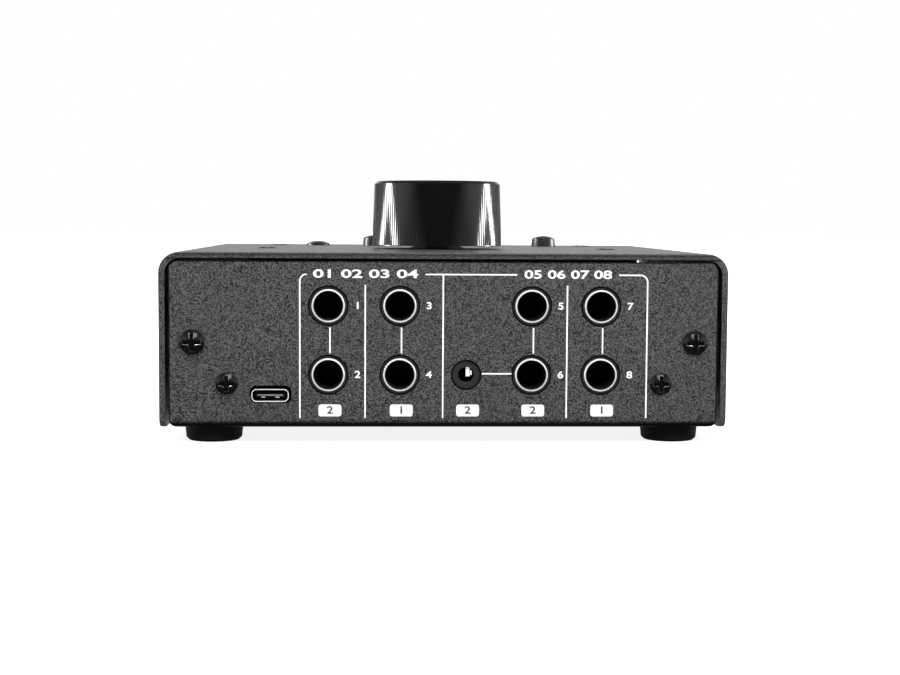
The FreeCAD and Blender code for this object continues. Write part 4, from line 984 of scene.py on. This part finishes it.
def sky():
    """White to the camera. In reflections it is a white room that is dim overhead and dark behind the rear
    panel. Everywhere else it is an even fill light."""
    world = bpy.data.worlds.new("studio")
    bpy.context.scene.world = world
    world.use_nodes = True
    world.node_tree.nodes.clear()
    paths = add(world, "ShaderNodeLightPath").outputs
    place = add(world, "ShaderNodeTexCoord").outputs["Generated"]
    way = add(world, "ShaderNodeSeparateXYZ", {"Vector": place}).outputs
    aside = add(world, "ShaderNodeMath", {0: way["X"]}, operation="ABSOLUTE").outputs[0]
    start, whole = TOWARD_CORNERS_ALONG
    beyond = add(world, "ShaderNodeMapRange", {
        "Value": way["Y"], "From Min": start, "From Max": whole,
        "To Min": 1.0, "To Max": FAR_CORNERS}).outputs[0]
    room = 1.0
    for facing, (start, whole), level in ((way["Y"], TOWARD_DARK_SIDE, DARK_SIDE),
                                          (way["Z"], TOWARD_OVERHEAD, OVERHEAD),
                                          (aside, TOWARD_CORNERS_ASIDE, beyond)):
        part = add(world, "ShaderNodeMapRange", {
            "Value": facing, "From Min": start, "From Max": whole,
            "To Min": 1.0, "To Max": level}).outputs[0]
        room = add(world, "ShaderNodeMath", {0: room, 1: part}, operation="MINIMUM").outputs[0]
    mirrored = add(world, "ShaderNodeMath", {
        0: paths["Is Glossy Ray"], 1: paths["Is Transmission Ray"]}, operation="MAXIMUM").outputs[0]
    light = add(world, "ShaderNodeMapRange", {"Value": mirrored, "To Min": FILL, "To Max": room}).outputs[0]
    strength = add(world, "ShaderNodeMapRange", {
        "Value": paths["Is Camera Ray"], "To Min": light, "To Max": 1.0}).outputs[0]
    back = add(world, "ShaderNodeBackground", {"Color": (1, 1, 1, 1), "Strength": strength}).outputs[0]
    add(world, "ShaderNodeOutputWorld", {"Surface": back})


def softbox(name, place, aim, width, height, watts, matte=True, gloss=True):
    """A flat lamp that points from its place to what it lights. Without matte it adds only reflections, and
    without gloss it has none."""
    lamp = bpy.data.lights.new(name, "AREA")
    lamp.shape = "RECTANGLE"
    lamp.size = width
    lamp.size_y = height
    lamp.energy = watts
    made = placed(name, lamp)
    made.location = place
    made.rotation_euler = (Vector(aim) - Vector(place)).to_track_quat("-Z", "Y").to_euler()
    made.visible_diffuse = matte
    made.visible_glossy = gloss
    return made


CASE_POINT = (0, 0, 0.03)
KNOB_POINT = (0, 0.01, 0.055)


def lamps():
    """Two broad lamps, behind the panel and overhead. A tall strip on each side shows as a streak on the
    knob and the buttons only."""
    softbox("key_lamp", place=(-0.12, 0.75, 0.85), aim=CASE_POINT, width=0.8, height=0.6, watts=11.0)
    softbox("top_lamp", place=(0, -0.15, 1.0), aim=CASE_POINT, width=0.9, height=0.7, watts=13.0,
            gloss=False)
    on_top = bpy.data.collections.new("knob_and_buttons")
    for name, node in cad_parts.items():
        if name == "level_knob" or name.startswith("button_"):
            on_top.objects.link(node)
    on_top.objects.link(bpy.data.objects["knob_flutes"])
    for name, side in (("left_strip", 1), ("right_strip", -1)):
        strip = softbox(name, place=(side * 0.5, -0.07, 0.1), aim=KNOB_POINT, width=0.12, height=0.4,
                        watts=5.0, matte=False)
        strip.light_linking.receiver_collection = on_top


FOCAL_PX = 1570.2
IMAGE_WIDTH_PX = 900
SENSOR_MM = 36
CAMERA_MM = Vector((15.81, 433.6, 53.08))
# How far the camera turns aside, down and about its own line of sight, in radians.
YAW = 0.046
PITCH = 0.075
ROLL = 0.006


def camera():
    """It stands behind the object, a little above it, and looks at the rear panel."""
    lens = bpy.data.cameras.new("camera")
    lens.sensor_width = SENSOR_MM
    lens.lens = SENSOR_MM * FOCAL_PX / IMAGE_WIDTH_PX
    lens.clip_start = 0.01
    made = placed("camera", lens)
    ahead = Vector((-math.sin(YAW) * math.cos(PITCH), -math.cos(YAW) * math.cos(PITCH), -math.sin(PITCH)))
    aside = Vector((-math.cos(YAW), math.sin(YAW), 0))
    over = aside.cross(ahead)
    right = aside * math.cos(ROLL) + over * math.sin(ROLL)
    above = over * math.cos(ROLL) - aside * math.sin(ROLL)
    turned = Matrix((right, above, -ahead)).transposed().to_4x4()
    made.matrix_world = Matrix.Translation(CAMERA_MM * MM) @ turned
    bpy.context.scene.camera = made


# ---------------------------------------------------------------- all of it
finish_nodes()
print_panel()
knob_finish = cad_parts["level_knob"].data.materials[0]
piece("knob_flutes", "level", knob_finish, knob_flutes)
piece("knob_pointer_fill", "level", pointer_paint(), pointer_fill)
piece("usb_contacts", "case", gold_flash(), socket_contacts)
silver = satin_silver()
piece("usb_shell_lip", "case", silver, shell_lip)
piece("usb_mid_plate", "case", rolled_steel(), mid_plate)
piece("usb_ground_blades", "case", silver, ground_blades)
piece("aux_jack_leaves", "case", silver, small_jack_leaves)
piece("cover_gap_shade_sheet", "case", black_felt(), edge_felt)
piece("worn_recess_edges", "case", worn_steel(), worn_edges)
floor()
sky()
lamps()
camera()
bpy.context.scene.view_settings.view_transform = "Standard"
